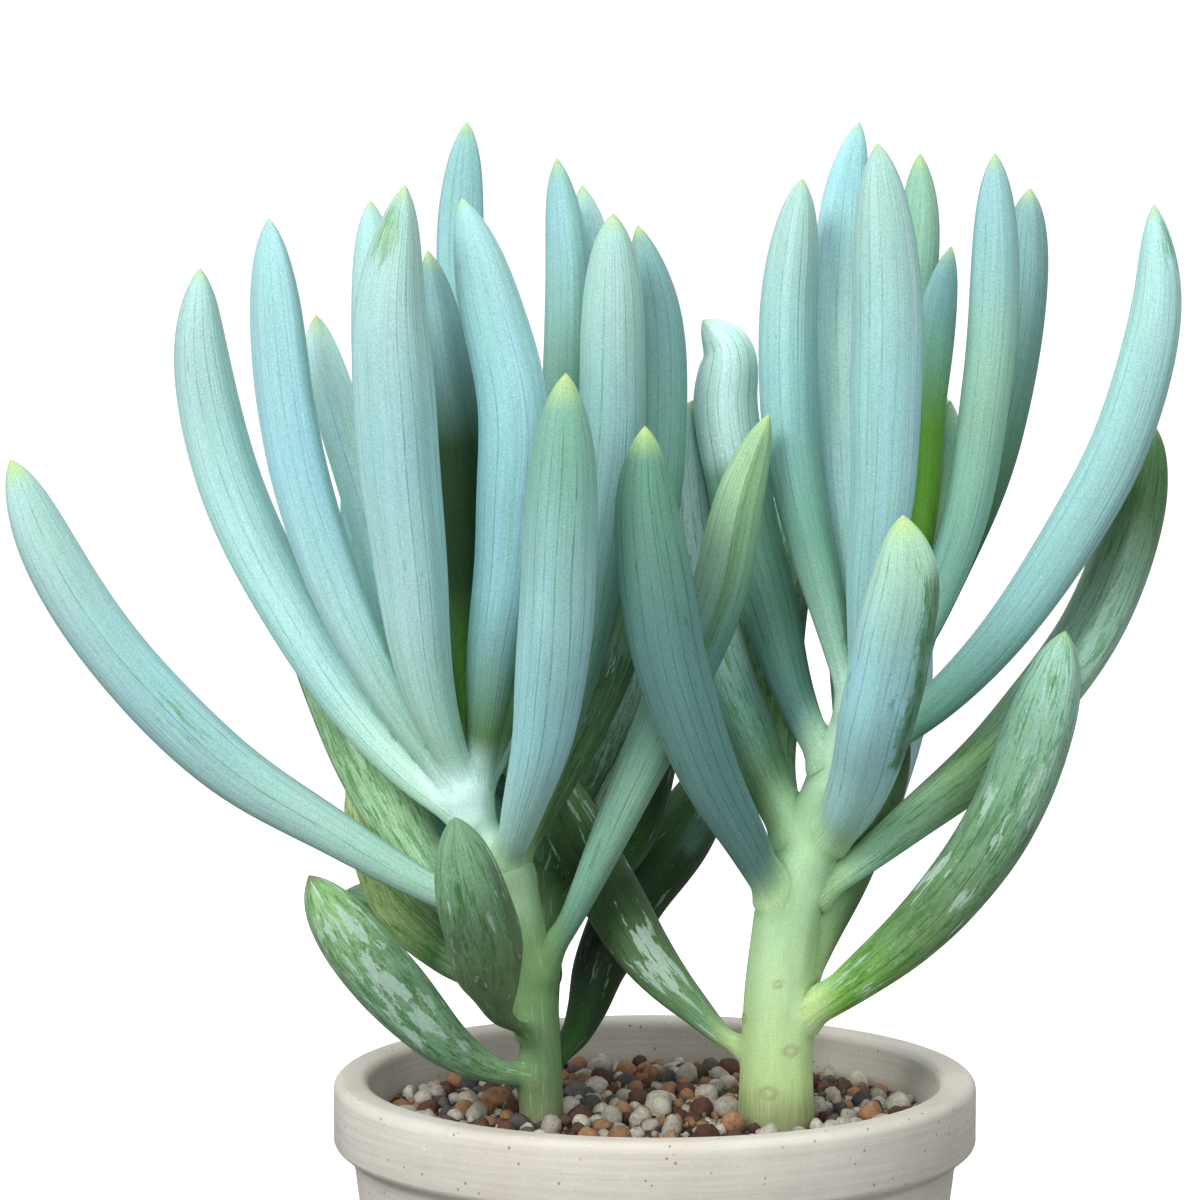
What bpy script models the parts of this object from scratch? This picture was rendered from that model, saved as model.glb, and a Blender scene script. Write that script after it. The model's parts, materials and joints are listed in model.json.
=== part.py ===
"""Blue chalk sticks in a plain pot: three leafy stems of a finger-leaved succulent standing in gritty soil.

Metres, +Z up. The origin is the middle of the pot's flat base. The viewer of the photograph stands on the
-Y side. Every leaf that the photograph shows is placed from points read off it by eye.
"""

import math

import bmesh
import bpy
import numpy as np

# Pot
POT_HEIGHT = 0.098
POT_RIM_RADIUS = 0.054
POT_BASE_RADIUS = 0.040
POT_WALL = 0.0045
POT_FLOOR = 0.006
LIP_HEIGHT = 0.012
LIP_PROUD = 0.0016
EDGE_ROUND = 0.0018
FOOT_CHAMFER = 0.0012
POT_SIDES = 48
DRAIN_HOLES = 3
DRAIN_RADIUS = 0.004
DRAIN_CIRCLE = 0.020
DRAIN_SIDES = 20
DRAIN_TURN = math.radians(30)
EDGE_ANGLES = [math.radians(angle) for angle in (0, 30, 60, 90)]

# Soil
SOIL_TOP = 0.092
SOIL_CROWN = 0.0012
SOIL_RINGS = 6
CLEARANCE = 0.0003
DRILL_OVERRUN = 0.01

# Stems
BURIED_DEPTH = 0.024
STEM_COLLAR = 0.002
STEM_SIDES = 14
STEM_RINGS = 10
FIRST_STEM_RING = 0.12
STEM_TIP = 0.3
STEM_TAPER = 2.0

# Leaves: width and flatness are shares, stations run from 0 at the root to 1 at the tip
LEAF_SIDES = 8
LEAF_STATIONS = (0.0, 0.14, 0.31, 0.48, 0.65, 0.8, 0.91, 0.97)
LEAF_THICKNESS = 0.98
INNER_FLATNESS = 0.80
WIDEST_AT = 0.62
TIP_ROUNDNESS = 0.72
SLOPE_STEP = 0.01

# Colours, roughness, and the angle over which an edge stays sharp
POT_COLOUR = (0.78, 0.76, 0.71)
POT_ROUGHNESS = 0.7
SOIL_COLOUR = (0.10, 0.075, 0.055)
SOIL_ROUGHNESS = 0.95
LEAF_COLOUR = (0.33, 0.55, 0.52)
LEAF_ROUGHNESS = 0.6
SHARP_ANGLE = math.radians(40)

# The photograph: where the eye is, and the size of a pixel at the depth of the pot's axis
PICTURE_MIDDLE = 600.0
PIXEL = 0.2 / 1200.0
VIEW_DISTANCE = 0.8
VIEW_TILT = math.radians(6.0)
SIGHT_POINT = (-0.0092, 0.0, 0.1783)

# Each stem: picture points from the soil to the top, its depth, and its radius at the soil and at the top
STEMS = {
    "leafy_stem_left": {
        "points": ((541, 1062), (536, 985), (515, 885), (478, 828), (462, 775)),
        "depth": -0.008,
        "radii": (0.0034, 0.0026),
    },
    "leafy_stem_right": {
        "points": ((777, 1062), (779, 985), (788, 915), (811, 838), (842, 765), (866, 700)),
        "depth": -0.008,
        "radii": (0.0060, 0.0032),
    },
    "leafy_stem_back": {
        "points": ((543, 1052), (541, 985), (543, 915), (540, 850), (548, 790)),
        "depth": 0.016,
        "radii": (0.0029, 0.0024),
    },
}

# Each leaf: picture points from root to tip, how far its tip reaches away from (+) or towards (-) the
# viewer, and its greatest width
LEAVES = {
    "leafy_stem_left": {
        "far_left": (
            ((515, 924), (423, 885), (333, 834), (226, 765), (110, 644), (47, 546), (11, 461)),
            -0.005,
            0.0117,
        ),
        "outer_left": (
            ((478, 828), (408, 769), (336, 684), (270, 575), (219, 448), (201, 345), (200, 270)),
            0.008,
            0.0116,
        ),
        "second_left": (
            ((462, 800), (388, 690), (325, 561), (284, 400), (274, 290), (269, 220)),
            -0.01,
            0.0104,
        ),
        "front_left": (
            ((470, 800), (435, 712), (410, 568), (394, 430), (390, 300), (405, 187)),
            -0.026,
            0.0127,
        ),
        "sliver_left": (((462, 772), (420, 560), (388, 400), (377, 280), (370, 202)), 0.02, 0.0102),
        "low_left": (
            ((466, 785), (412, 640), (369, 514), (336, 405), (321, 350), (316, 317)),
            0.006,
            0.0084,
        ),
        "inner_green": (((471, 765), (472, 640), (464, 520), (450, 390), (428, 252)), 0.004, 0.0088),
        "tall_blue": (((473, 770), (477, 560), (470, 400), (460, 220), (467, 124)), 0.02, 0.0082),
        "notched": (
            ((477, 785), (492, 660), (507, 530), (510, 400), (486, 288), (462, 200)),
            -0.014,
            0.0112,
        ),
        "teal_behind": (((478, 792), (540, 600), (563, 430), (568, 270), (557, 160)), 0.014, 0.0078),
        "small_behind": (((479, 798), (556, 600), (590, 420), (595, 280), (582, 187)), 0.024, 0.0084),
        "centre_front": (
            ((504, 874), (521, 822), (545, 730), (556, 600), (563, 480), (566, 375)),
            -0.036,
            0.0118,
        ),
        "centre_pale": (
            ((513, 870), (562, 715), (592, 575), (611, 440), (614, 320), (613, 215)),
            -0.008,
            0.0116,
        ),
        "centre_teal": (
            ((514, 862), (600, 690), (645, 530), (656, 400), (654, 310), (638, 227)),
            0.006,
            0.0102,
        ),
        "long_crossing": (
            ((539, 980), (574, 915), (628, 792), (680, 680), (722, 580), (744, 485), (768, 416)),
            -0.006,
            0.0104,
        ),
        "front_spindle": (
            ((529, 1034), (501, 1014), (492, 981), (480, 930), (467, 880), (455, 819)),
            -0.048,
            0.0122,
        ),
        "bottom_left": (
            ((541, 1080), (475, 1062), (413, 1013), (365, 955), (334, 914), (310, 877)),
            -0.014,
            0.0127,
        ),
        "rubbed_left": (((519, 955), (438, 884), (376, 776), (331, 674), (292, 572)), 0.018, 0.0118),
        "lower_green": (
            ((534, 1010), (491, 978), (448, 952), (409, 920), (382, 872), (368, 815), (366, 750)),
            0.026,
            0.0092,
        ),
        "low_dark": (((534, 1020), (487, 958), (436, 924), (391, 904), (346, 892)), 0.036, 0.0100),
    },
    "leafy_stem_right": {
        "slate": (((784, 917), (750, 852), (694, 736), (661, 618), (645, 510), (645, 428)), -0.026, 0.0120),
        "hooked": (
            ((828, 772), (797, 700), (769, 609), (740, 500), (725, 400), (727, 350), (704, 321)),
            0.016,
            0.0114,
        ),
        "tall_left": (
            ((852, 717), (839, 650), (812, 546), (788, 420), (788, 310), (802, 180)),
            0.004,
            0.0103,
        ),
        "tall_back": (
            ((860, 712), (852, 580), (840, 440), (839, 300), (847, 190), (859, 124)),
            0.015,
            0.0092,
        ),
        "tall_front": (
            ((863, 716), (872, 610), (882, 490), (886, 380), (886, 250), (878, 145)),
            -0.014,
            0.0114,
        ),
        "behind_front": (
            ((868, 714), (896, 560), (910, 400), (914, 280), (920, 205), (920, 155)),
            0.018,
            0.0084,
        ),
        "inner_glow": (
            ((868, 722), (903, 615), (919, 500), (926, 389), (938, 310), (951, 248)),
            0.005,
            0.0076,
        ),
        "small_right": (((868, 730), (905, 650), (932, 560), (946, 480), (950, 402)), 0.013, 0.0062),
        "green_right": (
            ((866, 726), (914, 644), (958, 541), (987, 400), (995, 270), (995, 155)),
            -0.004,
            0.0092,
        ),
        "teal_right": (
            ((862, 733), (931, 610), (977, 499), (1008, 389), (1023, 280), (1030, 190)),
            0.026,
            0.0087,
        ),
        "far_right": (
            ((862, 755), (921, 715), (1032, 595), (1122, 440), (1157, 300), (1154, 206)),
            -0.006,
            0.0109,
        ),
        "folded_right": (
            ((812, 900), (903, 829), (1007, 737), (1090, 630), (1139, 512), (1156, 430)),
            0.01,
            0.0120,
        ),
        "lower_right": (
            ((790, 1030), (862, 975), (948, 897), (1017, 792), (1048, 700), (1065, 633)),
            -0.012,
            0.0133,
        ),
        "front_blunt": (
            ((829, 842), (851, 804), (871, 750), (884, 693), (896, 632), (906, 570), (903, 517)),
            -0.034,
            0.0125,
        ),
        "dark_behind": (((783, 1032), (813, 947), (847, 860), (876, 780), (895, 700)), 0.014, 0.0108),
        "teal_crossed": (
            ((796, 848), (752, 742), (707, 625), (684, 520), (680, 450), (692, 402)),
            0.018,
            0.0116,
        ),
        "dark_sliver": (((800, 850), (772, 776), (767, 690), (776, 590), (790, 490)), 0.028, 0.0100),
        "low_crossing": (
            ((776, 1060), (736, 1046), (687, 1002), (643, 948), (603, 880), (566, 812), (546, 758)),
            0.013,
            0.0116,
        ),
    },
    "leafy_stem_back": {
        "dark_right": (
            ((546, 1062), (568, 1046), (587, 1010), (599, 966), (624, 913), (690, 821), (727, 747)),
            0.018,
            0.0124,
        ),
        "dark_middle": (((544, 925), (583, 893), (622, 848), (648, 775), (664, 692)), 0.003, 0.0100),
        "mottled": (((544, 870), (575, 790), (604, 715), (622, 640), (634, 540)), 0.006, 0.0112),
        "yellow_stripe": (((546, 905), (600, 800), (638, 710), (662, 620), (674, 530)), 0.020, 0.0105),
    },
}

# A leaf's form: its width at the root as a share of the greatest, how slim it stays above the root, and
# how full its tip is
USUAL_FORM = (0.40, 1.0, 3.3)
LEAF_FORMS = {
    "far_left": (0.37, 1.40, 4.7),
    "outer_left": (0.40, 0.85, 3.8),
    "second_left": (0.40, 0.95, 3.9),
    "front_left": (0.25, 0.90, 2.6),
    "low_left": (0.40, 0.90, 5.0),
    "tall_blue": (0.40, 0.90, 5.1),
    "teal_behind": (0.40, 0.90, 4.6),
    "small_behind": (0.40, 0.90, 5.0),
    "centre_front": (0.30, 1.00, 3.3),
    "centre_pale": (0.35, 1.00, 4.8),
    "long_crossing": (0.25, 1.20, 3.3),
    "front_spindle": (0.15, 2.40, 3.3),
    "bottom_left": (0.25, 1.70, 3.1),
    "rubbed_left": (0.35, 1.00, 4.2),
    "low_dark": (0.30, 1.00, 3.3),
    "slate": (0.36, 1.10, 3.3),
    "hooked": (0.38, 1.15, 5.4),
    "tall_left": (0.30, 1.00, 3.9),
    "tall_back": (0.40, 1.00, 3.6),
    "behind_front": (0.40, 1.00, 3.7),
    "inner_glow": (0.40, 1.00, 3.7),
    "green_right": (0.38, 1.00, 4.4),
    "teal_right": (0.38, 1.00, 5.6),
    "far_right": (0.44, 0.85, 3.2),
    "folded_right": (0.32, 1.05, 3.7),
    "lower_right": (0.28, 0.88, 4.2),
    "front_blunt": (0.38, 0.60, 3.3),
    "dark_behind": (0.30, 1.20, 3.3),
    "teal_crossed": (0.50, 1.10, 3.3),
    "dark_sliver": (0.33, 1.20, 3.3),
    "low_crossing": (0.15, 1.60, 3.3),
    "dark_right": (0.18, 1.00, 2.6),
}

# Leaves on the far side, which the photograph hides: height of the root up the stem from 0 to 1, compass
# angle from +X, spread of the tip from the root, and its rise
REAR_LEAVES = {
    "leafy_stem_left": (),
    "leafy_stem_right": (
        (0.26, 62, 0.050, 0.062),
        (0.60, 60, 0.046, 0.074),
        (0.87, 84, 0.044, 0.078),
        (0.94, 92, 0.028, 0.080),
    ),
    "leafy_stem_back": (
        (0.28, 100, 0.038, 0.056),
        (0.42, 138, 0.046, 0.060),
        (0.50, 78, 0.040, 0.074),
        (0.60, 125, 0.040, 0.078),
        (0.70, 162, 0.032, 0.078),
        (0.78, 98, 0.034, 0.086),
        (0.86, 72, 0.026, 0.090),
        (0.92, 145, 0.026, 0.090),
        (0.98, 105, 0.014, 0.068),
    ),
}
REAR_WIDTH = 0.0120
REAR_STATIONS = (0.0, 0.2, 0.45, 0.72, 1.0)
REAR_RISE_POWER = 1.2


def place(across, down, depth):
    """The point at a given depth (world Y) that is seen at a pixel of the photograph."""
    right = np.array((1.0, 0.0, 0.0))
    up = np.array((0.0, math.sin(VIEW_TILT), math.cos(VIEW_TILT)))
    forward = np.array((0.0, math.cos(VIEW_TILT), -math.sin(VIEW_TILT)))
    eye = np.array(SIGHT_POINT) - VIEW_DISTANCE * forward
    sight = (
        VIEW_DISTANCE * forward
        + (across - PICTURE_MIDDLE) * PIXEL * right
        + (PICTURE_MIDDLE - down) * PIXEL * up
    )
    return eye + sight * (depth - eye[1]) / sight[1]


def smooth_path(points, stations):
    """Points along a smooth curve through the given points, at stations from 0 to 1 of its length."""
    points = np.asarray(points, dtype=float)
    knots = np.concatenate(([0.0], np.cumsum(np.linalg.norm(np.diff(points, axis=0), axis=1))))
    slopes = np.gradient(points, knots, axis=0)
    where = np.asarray(stations) * knots[-1]
    span = np.clip(np.searchsorted(knots, where, side="right") - 1, 0, len(knots) - 2)
    length = (knots[span + 1] - knots[span])[:, None]
    t = (where - knots[span])[:, None] / length
    start_weight = 2 * t**3 - 3 * t**2 + 1
    end_weight = 3 * t**2 - 2 * t**3
    return (
        start_weight * points[span]
        + end_weight * points[span + 1]
        + (t**3 - 2 * t**2 + t) * length * slopes[span]
        + (t**3 - t**2) * length * slopes[span + 1]
    )


def seen_leaf_path(stem, picture_points, reach):
    """Control points of a leaf read off the photograph: it leaves the stem fast and then stands up."""
    flat = np.asarray(picture_points, dtype=float)
    along = np.concatenate(([0.0], np.cumsum(np.linalg.norm(np.diff(flat, axis=0), axis=1))))
    along /= along[-1]
    depths = STEMS[stem]["depth"] + reach * (1.0 - (1.0 - along) ** 2)
    return [place(x, y, depth) for (x, y), depth in zip(flat, depths)]


def rear_leaf_path(stem, height, compass, spread, rise):
    """Control points of a hidden leaf, from the stem's middle outwards and up."""
    root = smooth_path(stem_path(stem), [height])[0]
    angle = math.radians(compass)
    outward = np.array((math.cos(angle), math.sin(angle), 0.0))
    upward = np.array((0.0, 0.0, 1.0))
    return [
        root + spread * (1.0 - (1.0 - s) ** 2) * outward + rise * s**REAR_RISE_POWER * upward
        for s in REAR_STATIONS
    ]


def stem_path(stem):
    """Control points of a stem above the soil."""
    return [place(x, y, STEMS[stem]["depth"]) for x, y in STEMS[stem]["points"]]


def leaf_girth(s, form):
    """Share of a leaf's greatest width at s, from the narrow root to the pointed tip."""
    root_width, slimness, fullness = form
    s = np.asarray(s, dtype=float)
    growth = np.sin(math.pi / 2 * np.clip(s / WIDEST_AT, 0, 1)) ** slimness
    past = np.clip((s - WIDEST_AT) / (1.0 - WIDEST_AT), 0, 1)
    return (root_width + (1.0 - root_width) * growth) * (1.0 - past**fullness) ** TIP_ROUNDNESS


def leaf_frames(control, stations):
    """Centre, across and inward directions of a leaf at each station."""
    centre = smooth_path(control, stations)
    ahead = smooth_path(control, np.clip(np.asarray(stations) + SLOPE_STEP, 0, 1))
    behind = smooth_path(control, np.clip(np.asarray(stations) - SLOPE_STEP, 0, 1))
    along = ahead - behind
    along /= np.linalg.norm(along, axis=1)[:, None]
    outward = np.asarray(control[-1]) - np.asarray(control[0])
    across = np.cross((0.0, 0.0, 1.0), outward)
    across = across - along * (along @ across)[:, None]
    across /= np.linalg.norm(across, axis=1)[:, None]
    return centre, across, np.cross(along, across)


def leaf_rings(control, width, form, stations, sides):
    """Rings of points round a leaf: flatter on the side that faces the stem, fuller outside."""
    centre, across, inward = leaf_frames(control, stations)
    half = width / 2 * leaf_girth(stations, form)
    angles = (np.arange(sides) + 0.5) * 2 * math.pi / sides
    wide = np.cos(angles)
    thick = np.sin(angles) * np.where(np.sin(angles) > 0, INNER_FLATNESS, 1.0)
    thick = LEAF_THICKNESS * (thick + (1.0 - INNER_FLATNESS) / 2)
    return (
        centre[:, None, :]
        + (half[:, None] * wide)[:, :, None] * across[:, None, :]
        + (half[:, None] * thick)[:, :, None] * inward[:, None, :]
    )


def all_leaves(stem):
    """Control points, width and form of every leaf on a stem."""
    leaves = {}
    for name, (points, reach, width) in LEAVES[stem].items():
        leaves[name] = (seen_leaf_path(stem, points, reach), width, LEAF_FORMS.get(name, USUAL_FORM))
    for number, (height, compass, spread, rise) in enumerate(REAR_LEAVES[stem]):
        control = rear_leaf_path(stem, height, compass, spread, rise)
        leaves[f"rear_{number + 1}"] = (control, REAR_WIDTH, USUAL_FORM)
    return leaves


def solid_from_rings(name, rings, tip=None):
    """A closed mesh object through equal rings of points, with flat or pointed ends."""
    model = bmesh.new()
    loops = [[model.verts.new(point) for point in ring] for ring in rings]
    for lower, upper in zip(loops, loops[1:]):
        for i in range(len(lower)):
            j = (i + 1) % len(lower)
            model.faces.new((lower[i], lower[j], upper[j], upper[i]))
    model.faces.new(loops[0][::-1])
    if tip is None:
        model.faces.new(loops[-1])
    else:
        point = model.verts.new(tip)
        for i in range(len(loops[-1])):
            model.faces.new((loops[-1][i], loops[-1][(i + 1) % len(loops[-1])], point))
    bmesh.ops.recalc_face_normals(model, faces=model.faces)
    if model.calc_volume(signed=True) < 0:
        bmesh.ops.reverse_faces(model, faces=model.faces)
    mesh = bpy.data.meshes.new(name)
    model.to_mesh(mesh)
    model.free()
    return bpy.data.objects.new(name, mesh)


def turned_solid(name, profile, sides):
    """A closed mesh object turned round the Z axis from an outline that starts and ends on the axis."""
    model = bmesh.new()
    start = model.verts.new((0.0, 0.0, profile[0][1]))
    end = model.verts.new((0.0, 0.0, profile[-1][1]))
    angles = [2 * math.pi * i / sides for i in range(sides)]
    loops = [
        [model.verts.new((radius * math.cos(a), radius * math.sin(a), height)) for a in angles]
        for radius, height in profile[1:-1]
    ]
    for i in range(sides):
        j = (i + 1) % sides
        model.faces.new((start, loops[0][i], loops[0][j]))
        for lower, upper in zip(loops, loops[1:]):
            model.faces.new((lower[i], upper[i], upper[j], lower[j]))
        model.faces.new((end, loops[-1][j], loops[-1][i]))
    bmesh.ops.recalc_face_normals(model, faces=model.faces)
    if model.calc_volume(signed=True) < 0:
        bmesh.ops.reverse_faces(model, faces=model.faces)
    mesh = bpy.data.meshes.new(name)
    model.to_mesh(mesh)
    model.free()
    return bpy.data.objects.new(name, mesh)


def upright_cylinder(name, centre, radius, bottom, top, sides):
    """A closed upright cylinder."""
    angles = [2 * math.pi * i / sides for i in range(sides)]
    rings = [
        [(centre[0] + radius * math.cos(a), centre[1] + radius * math.sin(a), height) for a in angles]
        for height in (bottom, top)
    ]
    return solid_from_rings(name, rings)


def apply_boolean(target, operation, others, solver="EXACT"):
    """Combine others into target, keep the result as its mesh, and remove the others."""
    scene = bpy.context.scene
    group = bpy.data.collections.new("boolean_operands")
    scene.collection.children.link(group)
    for other in others:
        group.objects.link(other)
    modifier = target.modifiers.new("Combine", "BOOLEAN")
    modifier.operation = operation
    modifier.operand_type = "COLLECTION"
    modifier.collection = group
    modifier.solver = solver
    graph = bpy.context.evaluated_depsgraph_get()
    mesh = bpy.data.meshes.new_from_object(target.evaluated_get(graph))
    target.modifiers.clear()
    target.data = mesh
    for other in others:
        bpy.data.objects.remove(other, do_unlink=True)
    bpy.data.collections.remove(group)


def finish(node, colour, roughness):
    """Name the material after the node, and shade round surfaces smooth."""
    material = bpy.data.materials.new(node.name)
    material.use_nodes = True
    shader = material.node_tree.nodes["Principled BSDF"]
    shader.inputs["Base Color"].default_value = (*colour, 1.0)
    shader.inputs["Roughness"].default_value = roughness
    shader.inputs["Metallic"].default_value = 0.0
    node.data.materials.clear()
    node.data.materials.append(material)
    node.data.shade_smooth()
    node.data.set_sharp_from_angle(angle=SHARP_ANGLE)


def stem_foot(stem):
    """Where a stem enters the soil, in plan."""
    return stem_path(stem)[0][:2]


def stem_rings(stem):
    """Rings of a stem: straight down in the soil, then along its own path, thinner towards the top."""
    foot_radius, top_radius = STEMS[stem]["radii"]
    foot = stem_foot(stem)
    angles = [2 * math.pi * i / STEM_SIDES for i in range(STEM_SIDES)]
    round_ring = np.array([(math.cos(a), math.sin(a), 0.0) for a in angles])
    heights = (SOIL_TOP - BURIED_DEPTH, SOIL_TOP + STEM_COLLAR)
    rings = [round_ring * foot_radius + np.array((*foot, height)) for height in heights]
    stations = np.linspace(FIRST_STEM_RING, 1.0, STEM_RINGS)
    path = smooth_path(stem_path(stem), stations)
    along = smooth_path(stem_path(stem), np.clip(stations + SLOPE_STEP, 0, 1))
    along = along - smooth_path(stem_path(stem), np.clip(stations - SLOPE_STEP, 0, 1))
    for centre, direction, station in zip(path, along, stations):
        direction = direction / np.linalg.norm(direction)
        side = np.array((1.0, 0.0, 0.0)) - direction * direction[0]
        side /= np.linalg.norm(side)
        front = np.cross(direction, side)
        radius = foot_radius + (top_radius - foot_radius) * station**STEM_TAPER
        ring = centre + radius * (round_ring[:, :1] * side + round_ring[:, 1:2] * front)
        rings.append(ring)
    return rings


def make_leafy_stem(stem):
    """One stem with all its leaves, joined into one body."""
    rings = stem_rings(stem)
    top = rings[-1].mean(axis=0)
    tip = top + (top - rings[-2].mean(axis=0)) * STEM_TIP
    node = solid_from_rings(stem, rings, tip)
    bpy.context.scene.collection.objects.link(node)
    leaves = []
    for name, (control, width, form) in all_leaves(stem).items():
        rings = leaf_rings(control, width, form, LEAF_STATIONS, LEAF_SIDES)
        leaves.append(solid_from_rings(f"{stem}_{name}", rings, control[-1]))
    apply_boolean(node, "UNION", leaves, solver="MANIFOLD")
    finish(node, LEAF_COLOUR, LEAF_ROUGHNESS)
    return node


def pot_profile():
    """Half outline of the pot, from the axis under the floor, up the outside and down the inside."""
    slope = (POT_RIM_RADIUS - LIP_PROUD - POT_BASE_RADIUS) / POT_HEIGHT

    def outside(height):
        return POT_BASE_RADIUS + slope * height

    lip_foot = POT_HEIGHT - LIP_HEIGHT
    inner_top = POT_RIM_RADIUS - POT_WALL - LIP_PROUD
    profile = [(0.0, 0.0), (POT_BASE_RADIUS - FOOT_CHAMFER, 0.0), (outside(FOOT_CHAMFER), FOOT_CHAMFER)]
    profile += [(outside(lip_foot - LIP_PROUD), lip_foot - LIP_PROUD)]
    profile += [(POT_RIM_RADIUS, lip_foot + LIP_PROUD)]
    profile += [
        (
            POT_RIM_RADIUS - EDGE_ROUND * (1 - math.cos(angle)),
            POT_HEIGHT - EDGE_ROUND * (1 - math.sin(angle)),
        )
        for angle in EDGE_ANGLES
    ]
    profile += [
        (inner_top + EDGE_ROUND * (1 - math.sin(angle)), POT_HEIGHT - EDGE_ROUND * (1 - math.cos(angle)))
        for angle in EDGE_ANGLES
    ]
    profile += [(inside_radius(POT_FLOOR), POT_FLOOR), (0.0, POT_FLOOR)]
    return profile


def inside_radius(height):
    """Radius of the pot's inner wall at a height."""
    slope = (POT_RIM_RADIUS - LIP_PROUD - POT_BASE_RADIUS) / POT_HEIGHT
    return POT_RIM_RADIUS - LIP_PROUD - POT_WALL - slope * (POT_HEIGHT - EDGE_ROUND - height)


def make_pot():
    """Plain tapered pot with a rounded lip and drainage holes."""
    node = turned_solid("pot", pot_profile(), POT_SIDES)
    bpy.context.scene.collection.objects.link(node)
    drills = []
    for i in range(DRAIN_HOLES):
        angle = 2 * math.pi * i / DRAIN_HOLES + DRAIN_TURN
        centre = (DRAIN_CIRCLE * math.cos(angle), DRAIN_CIRCLE * math.sin(angle))
        top = POT_FLOOR + DRILL_OVERRUN
        drills.append(upright_cylinder("drill", centre, DRAIN_RADIUS, -DRILL_OVERRUN, top, DRAIN_SIDES))
    apply_boolean(node, "DIFFERENCE", drills)
    finish(node, POT_COLOUR, POT_ROUGHNESS)
    return node


def make_soil():
    """Soil filling the pot to under its rim, crowned a little, with a hole for each stem."""
    bottom = POT_FLOOR + CLEARANCE
    profile = [(0.0, bottom), (inside_radius(bottom) - CLEARANCE, bottom)]
    for i in range(SOIL_RINGS):
        share = 1.0 - i / SOIL_RINGS
        height = SOIL_TOP - SOIL_CROWN * share**2
        profile.append(((inside_radius(height) - CLEARANCE) * share, height))
    profile.append((0.0, SOIL_TOP))
    node = turned_solid("soil", profile, POT_SIDES)
    bpy.context.scene.collection.objects.link(node)
    bottom = SOIL_TOP - BURIED_DEPTH - CLEARANCE
    drills = [
        upright_cylinder(
            "drill",
            stem_foot(stem),
            STEMS[stem]["radii"][0] + CLEARANCE,
            bottom,
            SOIL_TOP + DRILL_OVERRUN,
            STEM_SIDES,
        )
        for stem in STEMS
    ]
    apply_boolean(node, "DIFFERENCE", drills)
    finish(node, SOIL_COLOUR, SOIL_ROUGHNESS)
    return node


def main():
    for item in list(bpy.data.objects):
        bpy.data.objects.remove(item, do_unlink=True)
    make_pot()
    make_soil()
    for stem in STEMS:
        make_leafy_stem(stem)


main()
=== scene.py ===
"""Potted blue chalk sticks, dressed: chalky finger leaves on three stems in a plain pot of gritty soil."""

import json
import math

import bmesh
import bpy
import numpy as np
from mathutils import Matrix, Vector, noise
from mathutils.bvhtree import BVHTree

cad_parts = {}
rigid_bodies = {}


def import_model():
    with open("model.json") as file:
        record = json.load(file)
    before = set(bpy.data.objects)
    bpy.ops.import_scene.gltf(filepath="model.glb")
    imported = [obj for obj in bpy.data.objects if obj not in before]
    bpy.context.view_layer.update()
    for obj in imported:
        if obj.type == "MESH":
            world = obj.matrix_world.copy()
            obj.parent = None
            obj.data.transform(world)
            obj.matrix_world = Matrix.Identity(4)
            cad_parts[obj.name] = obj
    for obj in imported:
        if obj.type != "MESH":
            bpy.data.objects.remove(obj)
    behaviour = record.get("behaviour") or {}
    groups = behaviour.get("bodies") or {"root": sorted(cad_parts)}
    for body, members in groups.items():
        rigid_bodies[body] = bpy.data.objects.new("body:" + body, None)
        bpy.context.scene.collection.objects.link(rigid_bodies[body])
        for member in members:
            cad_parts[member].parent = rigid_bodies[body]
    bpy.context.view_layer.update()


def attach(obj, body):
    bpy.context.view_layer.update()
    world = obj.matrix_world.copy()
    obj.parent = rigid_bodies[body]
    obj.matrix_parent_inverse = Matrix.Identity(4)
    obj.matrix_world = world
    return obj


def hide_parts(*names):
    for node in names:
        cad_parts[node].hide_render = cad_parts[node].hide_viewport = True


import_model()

FULL_TURN = 2 * math.pi
UP = np.array((0.0, 0.0, 1.0))
MILLIMETRES = 1000.0

# Pot
POT_HEIGHT = 0.098
POT_RIM_RADIUS = 0.054
POT_BASE_RADIUS = 0.040
POT_WALL = 0.0045
POT_FLOOR = 0.006
LIP_HEIGHT = 0.012
LIP_PROUD = 0.0016
EDGE_ROUND = 0.0018
FOOT_CHAMFER = 0.0012
DRAIN_HOLES = 3
DRAIN_RADIUS = 0.004
DRAIN_CIRCLE = 0.020
DRAIN_TURN = 30.0

# Soil
SOIL_TOP = 0.092
SOIL_CROWN = 0.0012
CLEARANCE = 0.0003

# Stems narrow upwards by a power; the form of a leaf, its flatness as a share
STEM_TAPER = 2.0
LEAF_THICKNESS = 0.98
INNER_FLATNESS = 0.80
WIDEST_AT = 0.62
TIP_ROUNDNESS = 0.72

# The photograph: where the eye is, and the size of a pixel at the depth of the pot's axis
PICTURE_MIDDLE = 600.0
PIXEL = 0.2 / 1200.0
VIEW_DISTANCE = 0.8
VIEW_TILT = math.radians(6.0)
SIGHT_POINT = (-0.0092, 0.0, 0.1783)
VIEW_RIGHT = np.array((1.0, 0.0, 0.0))
VIEW_UP = np.array((0.0, math.sin(VIEW_TILT), math.cos(VIEW_TILT)))
VIEW_AHEAD = np.array((0.0, math.cos(VIEW_TILT), -math.sin(VIEW_TILT)))
EYE = np.array(SIGHT_POINT) - VIEW_DISTANCE * VIEW_AHEAD

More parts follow.
